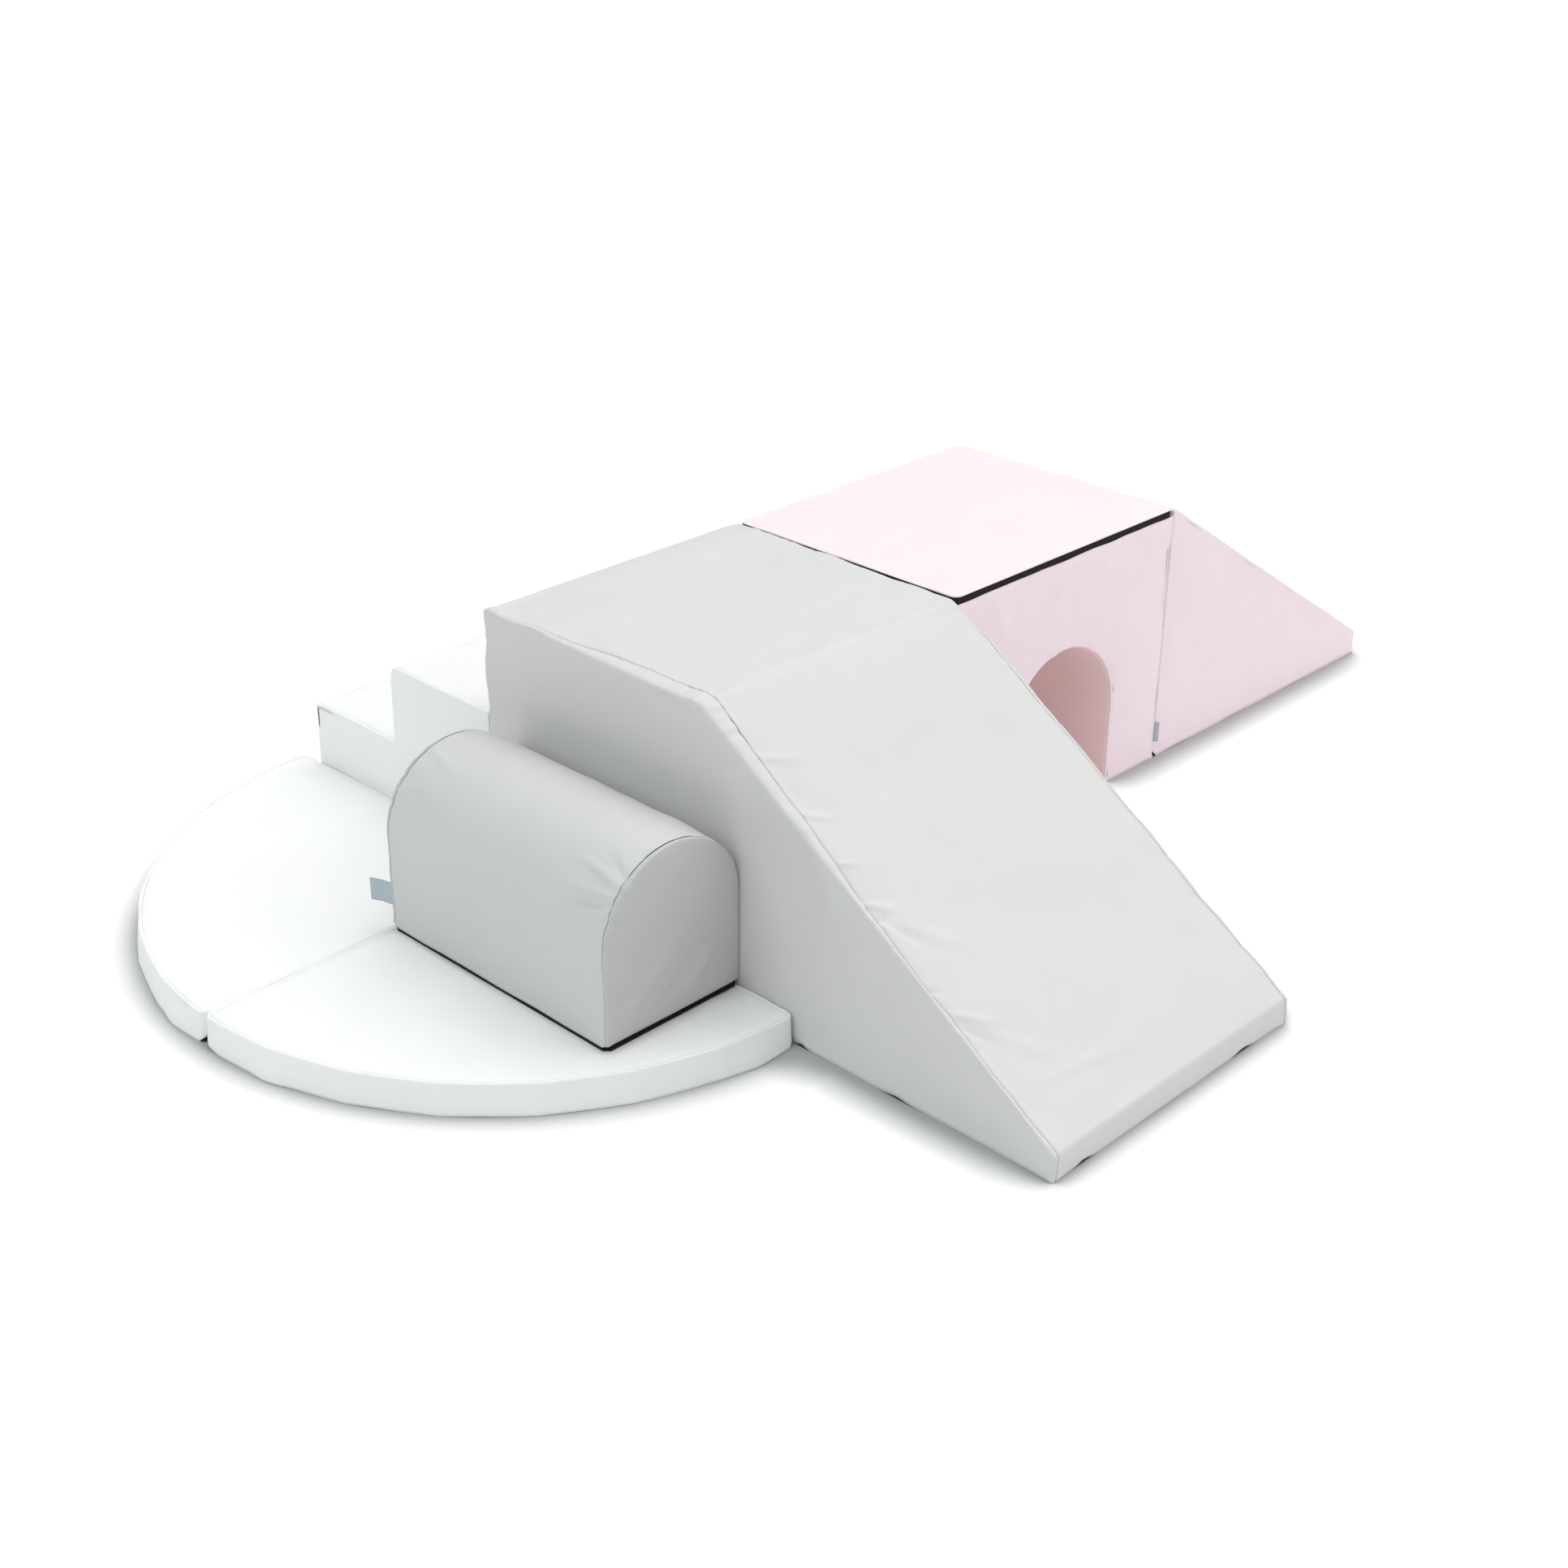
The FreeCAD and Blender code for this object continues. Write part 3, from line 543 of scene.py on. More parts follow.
def sew(cover, body, seed, parts, hem_of, hang, pressed=(), crown=0.003, pucker=0.0014, spots=(),
        creases=(), wander=0.0015, wobble=0.0006, form=None, core=True, gape=gaping):
    """Shape a net, divide it into its panels and seat them on their body.

    parts has (material slot, material, CAD nodes it stands for) for each panel. hem_of says which
    way each point's edge turns in, and hang moves the shaped points so that the hems hang right.
    crown, pucker, wander and wobble are heights: of the swell of a panel, of the puckers at a seam,
    of slow waves in a panel and of waves along a seam.
    """
    net = cover.points
    along, seam, swell = cover.marks.T
    normals, faces = outward_normals(cover)
    push = crown * swell + wander * Waves(seed, LONG_WAVE).at(net) * np.clip(3 * swell + 0.2, 0, 1)
    push += 0.4 * wander * Waves(seed + 1, SHORT_WAVE).at(net) * np.clip(3 * swell + 0.3, 0, 1)
    push += HEM_FLARE * np.clip(1 - (net[:, 2] - net[:, 2].min()) / FLARE_REACH, 0, 1)
    push += puckers(along, seam, seed + 2, pucker, spots=spots)
    push += wobble * Waves(seed + 3, SEAM_WAVE).at(net) * np.exp(-(seam / WOBBLE_REACH) ** 2)
    for fold in creases:
        push += crease(net, *fold)
    push = np.clip(push, HELD, room(net, normals, pressed))
    push += groove(seam) * (0.6 + 0.4 * gaping(net))
    if form:
        push += form(net, normals)
    points = hang(net + normals * push[:, None])
    hem = hem_of(net)
    for panel, (slot, material, nodes) in parts.items():
        obj = new_object(panel, *turn_in(points, normals, faces[panel], hem, gape), material)
        finish_piece(obj, body, slot, nodes)
    if core:
        foam_core(body, points, faces)


def sew_lying(cover, body, seed, parts, level, pressed, **soft):
    """Sew the cover of a block that lies on its base. level gives the height of its hem."""
    base = box_of(f"{body}_base")[0][2]

    def hem_of(points):
        """Edges on the level where the net starts turn up inside."""
        return np.where(points[:, 2] < base + HEM_START + EPSILON, 1, 0)

    def hang(points):
        """Draws the lowest part of the cover down or up to its hem's level."""
        share = 1 - np.clip((points[:, 2] - base - HEM_START) / HEM_REACH, 0, 1)
        points[:, 2] += (level(points) - HEM_START) * share
        return points

    sew(cover, body, seed, parts, hem_of, hang, pressed, **soft)


def bump_up(value, middle, half, height):
    """A short rise round a middle, as of a hem that lifts."""
    return height * np.exp(-((value - middle) / half) ** 2)


def mixed(first, second, share):
    """From the first to the second, by a share of 0 to 1."""
    return first * (1 - share) + second * share


def floor_hem(points, seed, height=0.0006, length=0.2):
    """The level of a loose hem on the floor, which wanders up a little."""
    return FLOOR_HEM + height * np.maximum(Waves(seed, length).at(points), 0)


# ---------------------------------------------------------------- materials


def set_inputs(node, **inputs):
    """Set a node's constant inputs. In their names, _ stands for a space."""
    for name, constant in inputs.items():
        node.inputs[name.replace("_", " ")].default_value = constant
    return node


def new_node(nodes, kind, **inputs):
    return set_inputs(nodes.new(kind), **inputs)


def shade(colour, factor, lift=0.0):
    return tuple(min(1.0, channel * factor + lift) for channel in colour)


class Paint:
    """A procedural material round one Principled shader."""

    def __init__(self, name, **inputs):
        self.material = bpy.data.materials.new(name)
        self.material.use_nodes = True
        self.nodes, self.links = self.material.node_tree.nodes, self.material.node_tree.links
        self.shader = set_inputs(self.nodes["Principled BSDF"], **inputs)

    def texture(self, kind, scale, output="Fac", **inputs):
        """The output of a texture in the object's own space."""
        place = self.nodes.new("ShaderNodeTexCoord")
        node = new_node(self.nodes, f"ShaderNodeTex{kind}", Scale=scale, **inputs)
        self.links.new(place.outputs["Object"], node.inputs["Vector"])
        return node.outputs[output]

    def remap(self, source, low, high, start=0.0, end=1.0):
        """A value mapped from start..end to low..high."""
        node = new_node(self.nodes, "ShaderNodeMapRange", From_Min=start, From_Max=end, To_Min=low,
                        To_Max=high)
        self.links.new(source, node.inputs["Value"])
        return node.outputs["Result"]

    def colour(self, source, low, high):
        """Colour the surface between two colours, by a value."""
        mix = self.nodes.new("ShaderNodeMix")
        mix.data_type = "RGBA"
        set_inputs(mix, A=(*low, 1), B=(*high, 1))
        self.links.new(source, mix.inputs["Factor"])
        self.links.new(mix.outputs["Result"], self.shader.inputs["Base Color"])

    def roughness(self, source, low, high):
        self.links.new(self.remap(source, low, high), self.shader.inputs["Roughness"])

    def bumps(self, *heights):
        """Chain bumps, each (height socket, strength, distance in metres), into the shader."""
        normal = None
        for socket, strength, distance in heights:
            bump = new_node(self.nodes, "ShaderNodeBump", Strength=strength, Distance=distance)
            self.links.new(socket, bump.inputs["Height"])
            if normal is not None:
                self.links.new(normal, bump.inputs["Normal"])
            normal = bump.outputs["Normal"]
        self.links.new(normal, self.shader.inputs["Normal"])
        return self.material


def leatherette(name, colour, roughness=0.48):
    """Coated fabric: a fine pebbled grain, a soft sheen and faint handling marks."""
    paint = Paint(name, Specular_IOR_Level=0.4)
    grain = paint.texture("Voronoi", 900.0, "Distance")
    fine = paint.texture("Noise", 2400.0)
    marks = paint.texture("Noise", 38.0, Detail=5.0)
    paint.colour(paint.texture("Noise", 9.0, Detail=4.0), shade(colour, 0.975), colour)
    paint.roughness(marks, roughness - 0.09, roughness + 0.09)
    return paint.bumps((grain, 0.15, 0.0004), (fine, 0.1, 0.00015), (marks, 0.08, 0.0012))


def woven(name, colour, scale, roughness=0.85):
    """Tape or ribbon."""
    paint = Paint(name, Roughness=roughness, Specular_IOR_Level=0.25)
    heights = []
    for direction in "XYZ":
        wave = paint.texture("Wave", scale, Distortion=0.6)
        wave.node.bands_direction = direction
        heights.append((wave, 0.35, 0.0003))
    fuzz = paint.texture("Noise", 700.0, Detail=4.0)
    paint.colour(fuzz, colour, shade(colour, 1.35, 0.006))
    return paint.bumps(*heights, (fuzz, 0.3, 0.0002))


def dotted(name, colour):
    """Dark base cloth with raised dots."""
    paint = Paint(name, Roughness=0.75)
    cells = paint.texture("Voronoi", 160.0, "Distance", Randomness=0.15)
    dots = paint.remap(cells, 0.0, 1.0, 0.42, 0.30)
    fuzz = paint.texture("Noise", 900.0, Detail=3.0)
    paint.colour(dots, colour, shade(colour, 1.9, 0.01))
    return paint.bumps((dots, 0.6, 0.0006), (fuzz, 0.3, 0.0002))


def open_cell(name, colour):
    """Foam, cut from a block."""
    paint = Paint(name, Roughness=0.95)
    cells = paint.texture("Voronoi", 700.0, "Distance")
    paint.colour(cells, shade(colour, 0.72), colour)
    return paint.bumps((cells, 0.7, 0.0012))


def plated(name, colour):
    """Die-cast metal, plated, with brushed wear."""
    paint = Paint(name, Metallic=1.0)
    wear = paint.texture("Noise", 420.0, Detail=4.0)
    paint.colour(wear, colour, shade(colour, 1.25))
    paint.roughness(wear, 0.25, 0.5)
    return paint.bumps((wear, 0.15, 0.0001))


GREY = leatherette("grey_leatherette", (0.69, 0.686, 0.667))
DARKER_GREY = leatherette("darker_grey_leatherette", (0.645, 0.648, 0.635))
# Painted shade: a darker copy of the half-round's grey, which paints the shade beside the slide onto the
# block's end panels.
SHADED_END_GREY = leatherette("shaded_end_grey_leatherette", (0.568, 0.570, 0.559))
# The mats' own white. On the stairs' side panels it paints light onto the sides.
WHITE = leatherette("white_leatherette", (0.945, 0.94, 0.932))
# Partly painted shade: a creamier and darker copy of the white. The cream tone is the treads' own; the
# darkening paints shade onto the treads, which the lamps light more than the mats.
IVORY_DIMMED = leatherette("ivory_dimmed_leatherette", (0.895, 0.892, 0.868))
# Painted sheen: the lid's copy of the pink is paler and greyer, which paints the sheen that washes out the
# top.
LID_SHEEN_PINK = leatherette("lid_sheen_pink_leatherette", (0.93, 0.80, 0.82))
PINK = leatherette("pink_leatherette", (0.985, 0.83, 0.885))
# The arch's lining is a deeper, more saturated pink than the walls.
DEEP_PINK = leatherette("rose_lining", (0.99, 0.75, 0.75), 0.6)
PAINTS = {
    "base": dotted("non_slip_cloth", (0.022, 0.022, 0.024)),
    "zip": woven("zip_tape", (0.012, 0.011, 0.012), 420.0),
    "slider": plated("slider_metal", (0.24, 0.24, 0.25)),
    "pull": plated("pull_metal", (0.30, 0.30, 0.31)),
    "tag": woven("tag_ribbon", (0.43, 0.49, 0.53), 300.0, 0.7),
    "foam": open_cell("foam_core", (0.80, 0.76, 0.58)),
}


def paint_nodes():
    """Give every CAD node the procedural material of its kind."""
    for name, obj in frame["nodes"].items():
        paint = PAINTS.get(name.rsplit("_", 1)[-1])
        if paint:
            for slot in obj.material_slots:
                slot.material = paint


# ---------------------------------------------------------------- the blocks


def box_of(node):
    low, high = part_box(node)
    return np.array(low), np.array(high)


def node_points(node):
    """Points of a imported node, to read its levels from."""
    mesh = frame["nodes"][node].data
    points = np.zeros(len(mesh.vertices) * 3)
    mesh.vertices.foreach_get("co", points)
    return points.reshape(-1, 3)


def upright(low, axis):
    """Places a profile in the upright plane across an axis, 0 or 1, and its width along that axis."""
    def place(flat, across):
        points = np.zeros((len(flat), 3))
        points[:, 1 - axis] = low[1 - axis] + flat[:, 0]
        points[:, axis] = low[axis] + across
        points[:, 2] = low[2] + flat[:, 1]
        return points
    return place


def raised(flat, height):
    """Points of a plan, at a height."""
    return np.column_stack([flat, np.broadcast_to(height, len(flat))])


def placed(creases, at):
    """Creases of rows with two places, a width and a height. at turns a place into a point."""
    return [(at(*row[:2]), at(*row[2:4]), *row[4:]) for row in creases]


def side_share(value, edge, reach=0.010):
    """1 beyond an edge, and nothing from reach before it."""
    return np.clip((value - (edge - reach)) / reach, 0, 1)


def panel_parts(block, names, slot, material):
    return {f"{block}_cover_{name}": (slot, material, (f"{block}_{name}",)) for name in names}


# Along the slide's profile from its back hem: how far the near seam leaves the rim.
SLIDE_SEAM = np.array((
    (0.0, 0.0), (0.5, 0.0), (0.6, 0.003), (0.7, 0.008), (0.78, 0.017), (0.86, 0.022), (0.98, 0.024),
    (1.08, 0.019), (1.2, 0.014), (1.3, 0.009), (1.38, 0.003), (1.45, 0.001), (1.52, 0.001), (1.58, 0.003),
    (1.66, 0.001), (1.74, 0.002), (1.9, 0.0)))
# How far the far rim has sunk beside the tunnel's zip.
SLIDE_FAR_RIM = np.array((
    (0.0, 0.0), (0.505, 0.0005), (0.54, 0.006), (0.60, 0.007), (0.72, 0.0045), (0.82, 0.006), (0.90, 0.0075),
    (0.985, 0.008), (1.03, 0.004), (1.08, 0.0), (1.9, 0.0)))
# Where a hem lifts off the floor: share of the side, half width and height.
SLIDE_SIDE_LIFTS = ((0.60, 0.012, 0.005), (0.76, 0.02, 0.004))
SLIDE_TOE_LIFTS = ((0.12, 0.016, 0.006), (0.80, 0.02, 0.006))
# Stretches of a seam with stronger puckers: middle, half length and gain.
SLIDE_SPOTS = ((1.05, 0.10, 0.8), (1.42, 0.08, 1.6), (1.60, 0.07, 1.6))
ROOF_SPOTS = ((0.24, 0.05, 2.5), (OTHER_END + 0.24, 0.05, 3.0))
ARCH_SPOTS = ((OTHER_END + 2 * SIDE_LEAD + 0.22, 0.08, 7.0),)
# Creases: where one starts, where it ends, its width and its height. A negative one is a valley.
# On the slide, a place is a share of the length and of the width.
SLIDE_CREASES = (
    (0.69, 0.02, 0.735, 0.13, 0.008, 0.0042), (0.705, 0.015, 0.77, 0.11, 0.008, -0.0034),
    (0.715, 0.03, 0.79, 0.22, 0.012, 0.0026), (0.83, 0.02, 0.865, 0.12, 0.007, 0.0042),
    (0.845, 0.015, 0.89, 0.10, 0.007, -0.0034), (0.60, 0.30, 0.70, 0.44, 0.013, 0.0014),
    (0.50, 0.03, 0.53, 0.16, 0.009, 0.0022), (0.575, 0.02, 0.60, 0.12, 0.007, 0.0024),
    (0.93, 0.10, 0.95, 0.45, 0.013, 0.0015), (0.43, 0.01, 0.435, 0.07, 0.006, 0.0024),
    (0.86, 0.05, 0.93, 0.24, 0.014, 0.0022), (0.64, 0.02, 0.655, 0.09, 0.006, 0.0022))
# On the half-round's roof, it is a share of the length and an angle up from the near side.
ROOF_CREASES = (
    (0.985, 38, 0.80, 33, 0.0065, 0.0055), (0.985, 31, 0.85, 23, 0.0055, -0.0045),
    (0.985, 45, 0.78, 53, 0.008, 0.0040), (0.985, 51, 0.88, 62, 0.006, -0.0030),
    (0.97, -25, 0.90, -42, 0.011, 0.0030), (0.98, -32, 0.93, -44, 0.008, -0.0025),
    (0.03, 70, 0.20, 60, 0.010, 0.0026), (0.03, 40, 0.16, 32, 0.008, -0.0020))
# On an upright panel, it is a distance across and up, in metres.
END_CREASES = (
    (0.03, 0.05, 0.11, 0.12, 0.012, 0.0050), (0.08, 0.03, 0.16, 0.09, 0.011, -0.0035),
    (0.02, 0.14, 0.07, 0.08, 0.009, 0.0035), (0.15, 0.04, 0.21, 0.10, 0.010, 0.0040))
FRONT_CREASES = (
    (0.10, 0.47, 0.14, 0.38, 0.018, 0.0024), (0.30, 0.48, 0.27, 0.40, 0.020, 0.0022),
    (0.42, 0.47, 0.40, 0.41, 0.014, 0.0020))
# The pull of a mat's zip rests at one angle of its arc and swings to the other, and the band
# leans out that much more over each.
PULL_PLACES = ((76.0, 0.0045), (7.5, 0.0058))
# The neighbours that press on a block along Y: where they are, and on which points they press.
BETWEEN_BLOCKS = (((0, -1, 0), everywhere), ((0, 1, 0), everywhere))


def slide():
    low, high = box_of("slide_base")
    length, width = high[0] - low[0], high[1] - low[1]
    top = box_of("slide_top_panel")[1][2]
    kink = box_of("tunnel_base")[1][0] - low[0]
    panel = node_points("slide_top_panel")
    toe = panel[panel[:, 0] > high[0] - 0.0005][:, 2].max() - TOE_SAG
    path = rounded(((0, HEM_START), (0, top), (kink, top), (length, toe), (length, HEM_START)),
                   (CORNER, KINK, TOE))
    parts = panel_parts("slide", ("left_panel", "top_panel", "right_panel"), "grey_cover", GREY)

    def course(along, end):
        """The near seam leaves the rim towards the kink, and comes back to it down the slope."""
        return np.interp(along, *SLIDE_SEAM.T) if end == 0 else 0 * along

    def sink(along, end):
        """The strip sinks a little where the near seam is far from the rim, and beside the zip."""
        if end == 0:
            return 0.2 * np.maximum(course(along, 0) - 0.002, 0)
        return np.interp(along, *SLIDE_FAR_RIM.T)

    cover = prism(path, width, tuple(parts), low, 1, drift=0.0009, seed=4, course=course, sink=sink)

    def level(points):
        far = np.maximum(side_share(points[:, 1], high[1]), side_share(-points[:, 0], -low[0]))
        loose = floor_hem(points, 3)
        for share, half, height in SLIDE_SIDE_LIFTS:
            loose += bump_up(points[:, 0], low[0] + share * length, half, height)
        toe_end = side_share(points[:, 0], high[0])
        for share, half, height in SLIDE_TOE_LIFTS:
            loose += toe_end * bump_up(points[:, 1], low[1] + share * width, half, height)
        return mixed(loose, ZIP_HEM, far)

    def at(along, across):
        """A point on the slope or the platform, by shares of the block's length and width."""
        x = along * length
        z = top if x < kink else top + (toe - top) * (x - kink) / (length - kink)
        return (low[0] + x, low[1] + across * width, z)

    def parted(points):
        """The seams part most near the kink."""
        return 0.6 + 1.7 * np.exp(-((points[:, 0] - low[0] - kink - 0.02) / 0.22) ** 2)

    pressed = (((0, 1, 0), lambda points: 1 - side_share(points[:, 0], kink + low[0] + 0.02)),
               ((-1, 0, 0), lambda points: 1 - side_share(points[:, 2], 0.34)),
               ((0, -1, 0), lambda points: 1 - side_share(points[:, 0], 0.20, 0.08)))
    sew_lying(cover, "slide", 11, parts, level, pressed, wobble=0.0016, creases=placed(SLIDE_CREASES, at),
              spots=SLIDE_SPOTS, gape=parted)


def stairs():
    low, high = box_of("stairs_base")
    length, width = high[0] - low[0], high[1] - low[1]
    panel = node_points("stairs_tread_panel")
    top = panel[:, 2].max()
    step = panel[panel[:, 0] < low[0] + length / 3][:, 2].max()
    riser = panel[panel[:, 2] > (step + top) / 2][:, 0].min() - low[0]
    path = rounded(((0, HEM_START), (0, step), (riser, step), (riser, top), (length, top),
                    (length, HEM_START)), (CORNER, RISER_FOOT, RISER_TOP, CORNER))
    parts = panel_parts("stairs", ("left_panel", "tread_panel", "right_panel"), "white_cover", IVORY_DIMMED)
    # Painted light: the side panels take the brighter white, so the sides look lighter beside the dimmed
    # ivory treads than the lamps make them.
    parts.update(panel_parts("stairs", ("left_panel", "right_panel"), "white_cover", WHITE))
    cover = prism(path, width, tuple(parts), low, 1, drift=0.001, seed=9)

    def level(points):
        far = np.maximum(side_share(points[:, 1], high[1]), side_share(points[:, 0], high[0]))
        return mixed(floor_hem(points, 5), ZIP_HEM, far)

    pressed = (((1, 0, 0), everywhere), ((0, -1, 0), lambda points: 1 - side_share(points[:, 2], 0.08)))
    sew_lying(cover, "stairs", 21, parts, level, pressed, pucker=0.0011)


def half_round():
    low, high = box_of("half_round_base")
    top = box_of("half_round_foam")[1][2] + box_of("half_round_foam")[0][0] - low[0]
    length, width = high[0] - low[0], high[1] - low[1]
    tall = top - low[2]
    path = rounded(((0, HEM_START), (0, tall), (width, tall), (width, HEM_START)), (width / 2, width / 2))
    parts = panel_parts("half_round", ("back_panel", "roof_panel", "front_panel"), "grey_cover", DARKER_GREY)
    # Painted shade: both end panels take the darker copy of the grey.
    parts.update(panel_parts("half_round", ("back_panel", "front_panel"), "grey_cover", SHADED_END_GREY))
    cover = prism(path, length, tuple(parts), low, 0, rim=0.0035, past=0.0004, drift=0.0005, seed=2)

    def form(points, normals):
        """The ends bulge."""
        across = np.clip((points[:, 1] - low[1]) / width, 0, 1)
        up = np.clip((points[:, 2] - low[2]) / tall, 0, 1)
        bulge = np.sqrt(16 * across * (1 - across) * up * (1 - up) + 1e-9)
        return END_BULGE * bulge * np.clip(np.abs(normals[:, 0]) - 0.8, 0, 0.2) / 0.2

    def level(points):
        """The hem stops above its zip, and hangs lower on the near side."""
        across = np.clip((points[:, 0] - low[0]) / length, 0, 1)
        near = side_share(-points[:, 1], -low[1]) * (1 - side_share(points[:, 0], high[0]))
        near = near * (1 - side_share(-points[:, 0], -low[0] - 0.004))
        lower = 0.0075 + 0.002 * (1 - across) + 0.0006 * Waves(8, 0.15).at(points)
        return mixed(HALF_HEM, HALF_HEM - lower + 0.0035, near)

    def on_roof(along, around):
        """A point on the roof: a share of the length, and an angle up from the near side."""
        angle = math.radians(around)
        return (low[0] + along * length, low[1] + width / 2 - width / 2 * math.cos(angle),
                top - width / 2 + width / 2 * math.sin(angle))

    def on_end(across, up):
        return (high[0], low[1] + across, low[2] + up)

    def parted(points):
        """The end seams part most over the roof."""
        return 0.6 + 2.4 * np.clip((points[:, 2] - low[2]) / tall, 0, 1) ** 1.5

    creases = placed(ROOF_CREASES, on_roof) + placed(END_CREASES, on_end)
    sew_lying(cover, "half_round", 31, parts, level, BETWEEN_BLOCKS[1:], crown=0.004, pucker=0.0013,
              creases=creases, spots=ROOF_SPOTS, form=form, gape=parted)


def ramp():
    low, high = box_of("ramp_base")
    top = box_of("tunnel_top_panel")[1][2]
    length, width = high[1] - low[1], high[0] - low[0]
    panel = node_points("ramp_top_panel")
    toe = panel[panel[:, 1] > high[1] - 0.0005][:, 2].max() + TOE * 0.35
    path = rounded(((0, HEM_START), (0, top), (length, toe), (length, HEM_START)), (CORNER, TOE))
    parts = panel_parts("ramp", ("back_panel", "top_panel", "front_panel"), "pink_cover", PINK)
    cover = prism(path, width, tuple(parts), low, 0, drift=0.001, seed=6)

    def level(points):
        far = np.maximum(side_share(-points[:, 0], -low[0]), side_share(-points[:, 1], -low[1]))
        return mixed(floor_hem(points, 7), ZIP_HEM, far)

    sew_lying(cover, "ramp", 41, parts, level, BETWEEN_BLOCKS[:1])


def tunnel():
    low, high = box_of("tunnel_base")
    length, width = high[1] - low[1], high[0] - low[0]
    rim_top = box_of("tunnel_front_panel")[1][2] - 0.0008
    lining = box_of("tunnel_arch_lining")
    opening = (lining[1][1] - lining[0][1]) / 2 - COVER
    middle = (lining[0][1] + lining[1][1]) / 2 - low[1]
    crest = lining[1][2] - COVER
    sides = {"left_wall": rounded(((0, HEM_START), (0, rim_top))),
             "right_wall": rounded(((length, rim_top), (length, HEM_START))),
             "arch_lining": rounded(((middle + opening, HEM_START), (middle + opening, crest),
                                     (middle - opening, crest), (middle - opening, HEM_START)),
                                    (opening, opening))}
    cover, rings = Cover(), {}
    walls = ("back_panel", "left_wall", "right_wall", "front_panel")
    parts = panel_parts("tunnel", walls, "pink_cover", PINK)
    parts.update(panel_parts("tunnel", ("arch_lining",), "rose_lining", DEEP_PINK))
    for number, (name, path) in enumerate(sides.items()):
        soft = {"rim": 0.003, "past": 0.0004} if name == "arch_lining" else {"drift": 0.001}
        panels = [f"tunnel_cover_{panel}" for panel in ("back_panel", name, "front_panel")]
        rings[name] = wrap(cover, path, width, panels, upright(low, 0), seed=number,
                           lead=SIDE_LEAD * number, **soft)
    for end, panel in ((0, "tunnel_cover_back_panel"), (1, "tunnel_cover_front_panel")):
        left, right, arch = (rings[name][end] for name in sides)
        loop = np.concatenate([left, cover.line(left[-1], right[0]), right, cover.line(right[-1], arch[0]),
                               arch, cover.line(arch[-1], left[0])])
        cover.fill(loop, panel, [1, 2], rings["left_wall"][2])

    def hem_of(points):
        upper = np.where(points[:, 2] > rim_top - EPSILON, -1, 0)
        return np.where(points[:, 2] < HEM_START + EPSILON, 1, upper)

    def hang(points):
        share = np.clip(1 - (rim_top - points[:, 2]) / HEM_REACH, 0, 1)
        shown = 1 - side_share(-points[:, 0], -low[0])
        points[:, 2] += share * (0.0009 * Waves(13, 0.11).at(points) - TAPE_SHOWN * shown)
        low_share = 1 - np.clip((points[:, 2] - HEM_START) / HEM_REACH, 0, 1)
        points[:, 2] += (FLOOR_HEM - HEM_START) * low_share
        return points

    creases = placed(FRONT_CREASES, lambda across, up: (high[0], low[1] + across, up))
    sew(cover, "tunnel", 51, parts, hem_of, hang, BETWEEN_BLOCKS, spots=ARCH_SPOTS, creases=creases)


def lid():
    """The tunnel's top panel, with the strip that joins it to the hinge side's wall."""
    low, high = box_of("tunnel_top_panel")
    zip_top = box_of("tunnel_zip")[1][2]
    size = high - low
    path = closed(((0, 0), (0, size[1]), (size[0], size[1]), (size[0], 0)), LID_CORNER)
    cover, rings = Cover(), []
    back = np.clip((path.points[:, 1] - (size[1] - 0.004)) / 0.003, 0, 1)
    back = back * np.clip((size[0] / 2 - 0.062 - np.abs(path.points[:, 0] - size[0] / 2)) / 0.004, 0, 1)
    start = (zip_top - low[2]) * (1 - back) + 0.0006 * back - 0.0002
    levels = [(0.0, start), (0.0, start * 0.5 + (size[2] - LID_LIP) * 0.5)]
    levels += [(LID_LIP * (1 - math.cos(angle)), size[2] - LID_LIP * (1 - math.sin(angle)))
               for angle in np.linspace(0, math.pi / 2, 5)]
    levels += [(LID_LIP + step, size[2]) for step in (0.003, 0.007)]
    for depth, height in levels:
        points = raised(low[:2] + path.at(depth), low[2] + height)
        rings.append(cover.add(points, path.along, -0.03 + depth, 0.0))
    rings = np.array(rings)
    cover.weave(np.hstack([rings, rings[:, :1]]), "tunnel_cover_top_panel")
    cover.fill(rings[-1], "tunnel_cover_top_panel", [0, 1], 0.02, reach=0.16)
    # Painted sheen: the top panel takes the paler copy of the pink.
    parts = panel_parts("tunnel", ("top_panel",), "pink_cover", LID_SHEEN_PINK)

    def hem_of(points):
        return np.where(points[:, 2] < zip_top + EPSILON, 0.12, 0)

    def hang(points):
        rim = np.clip(1 - (high[2] - points[:, 2]) / 0.001, 0, 1)
        points[:, 2] += 0.0006 * rim * Waves(17, 0.12).at(points)
        return points

    sew(cover, "tunnel", 61, parts, hem_of, hang, BETWEEN_BLOCKS, crown=0.004, pucker=0.0, wander=0.0007,
        core=False)


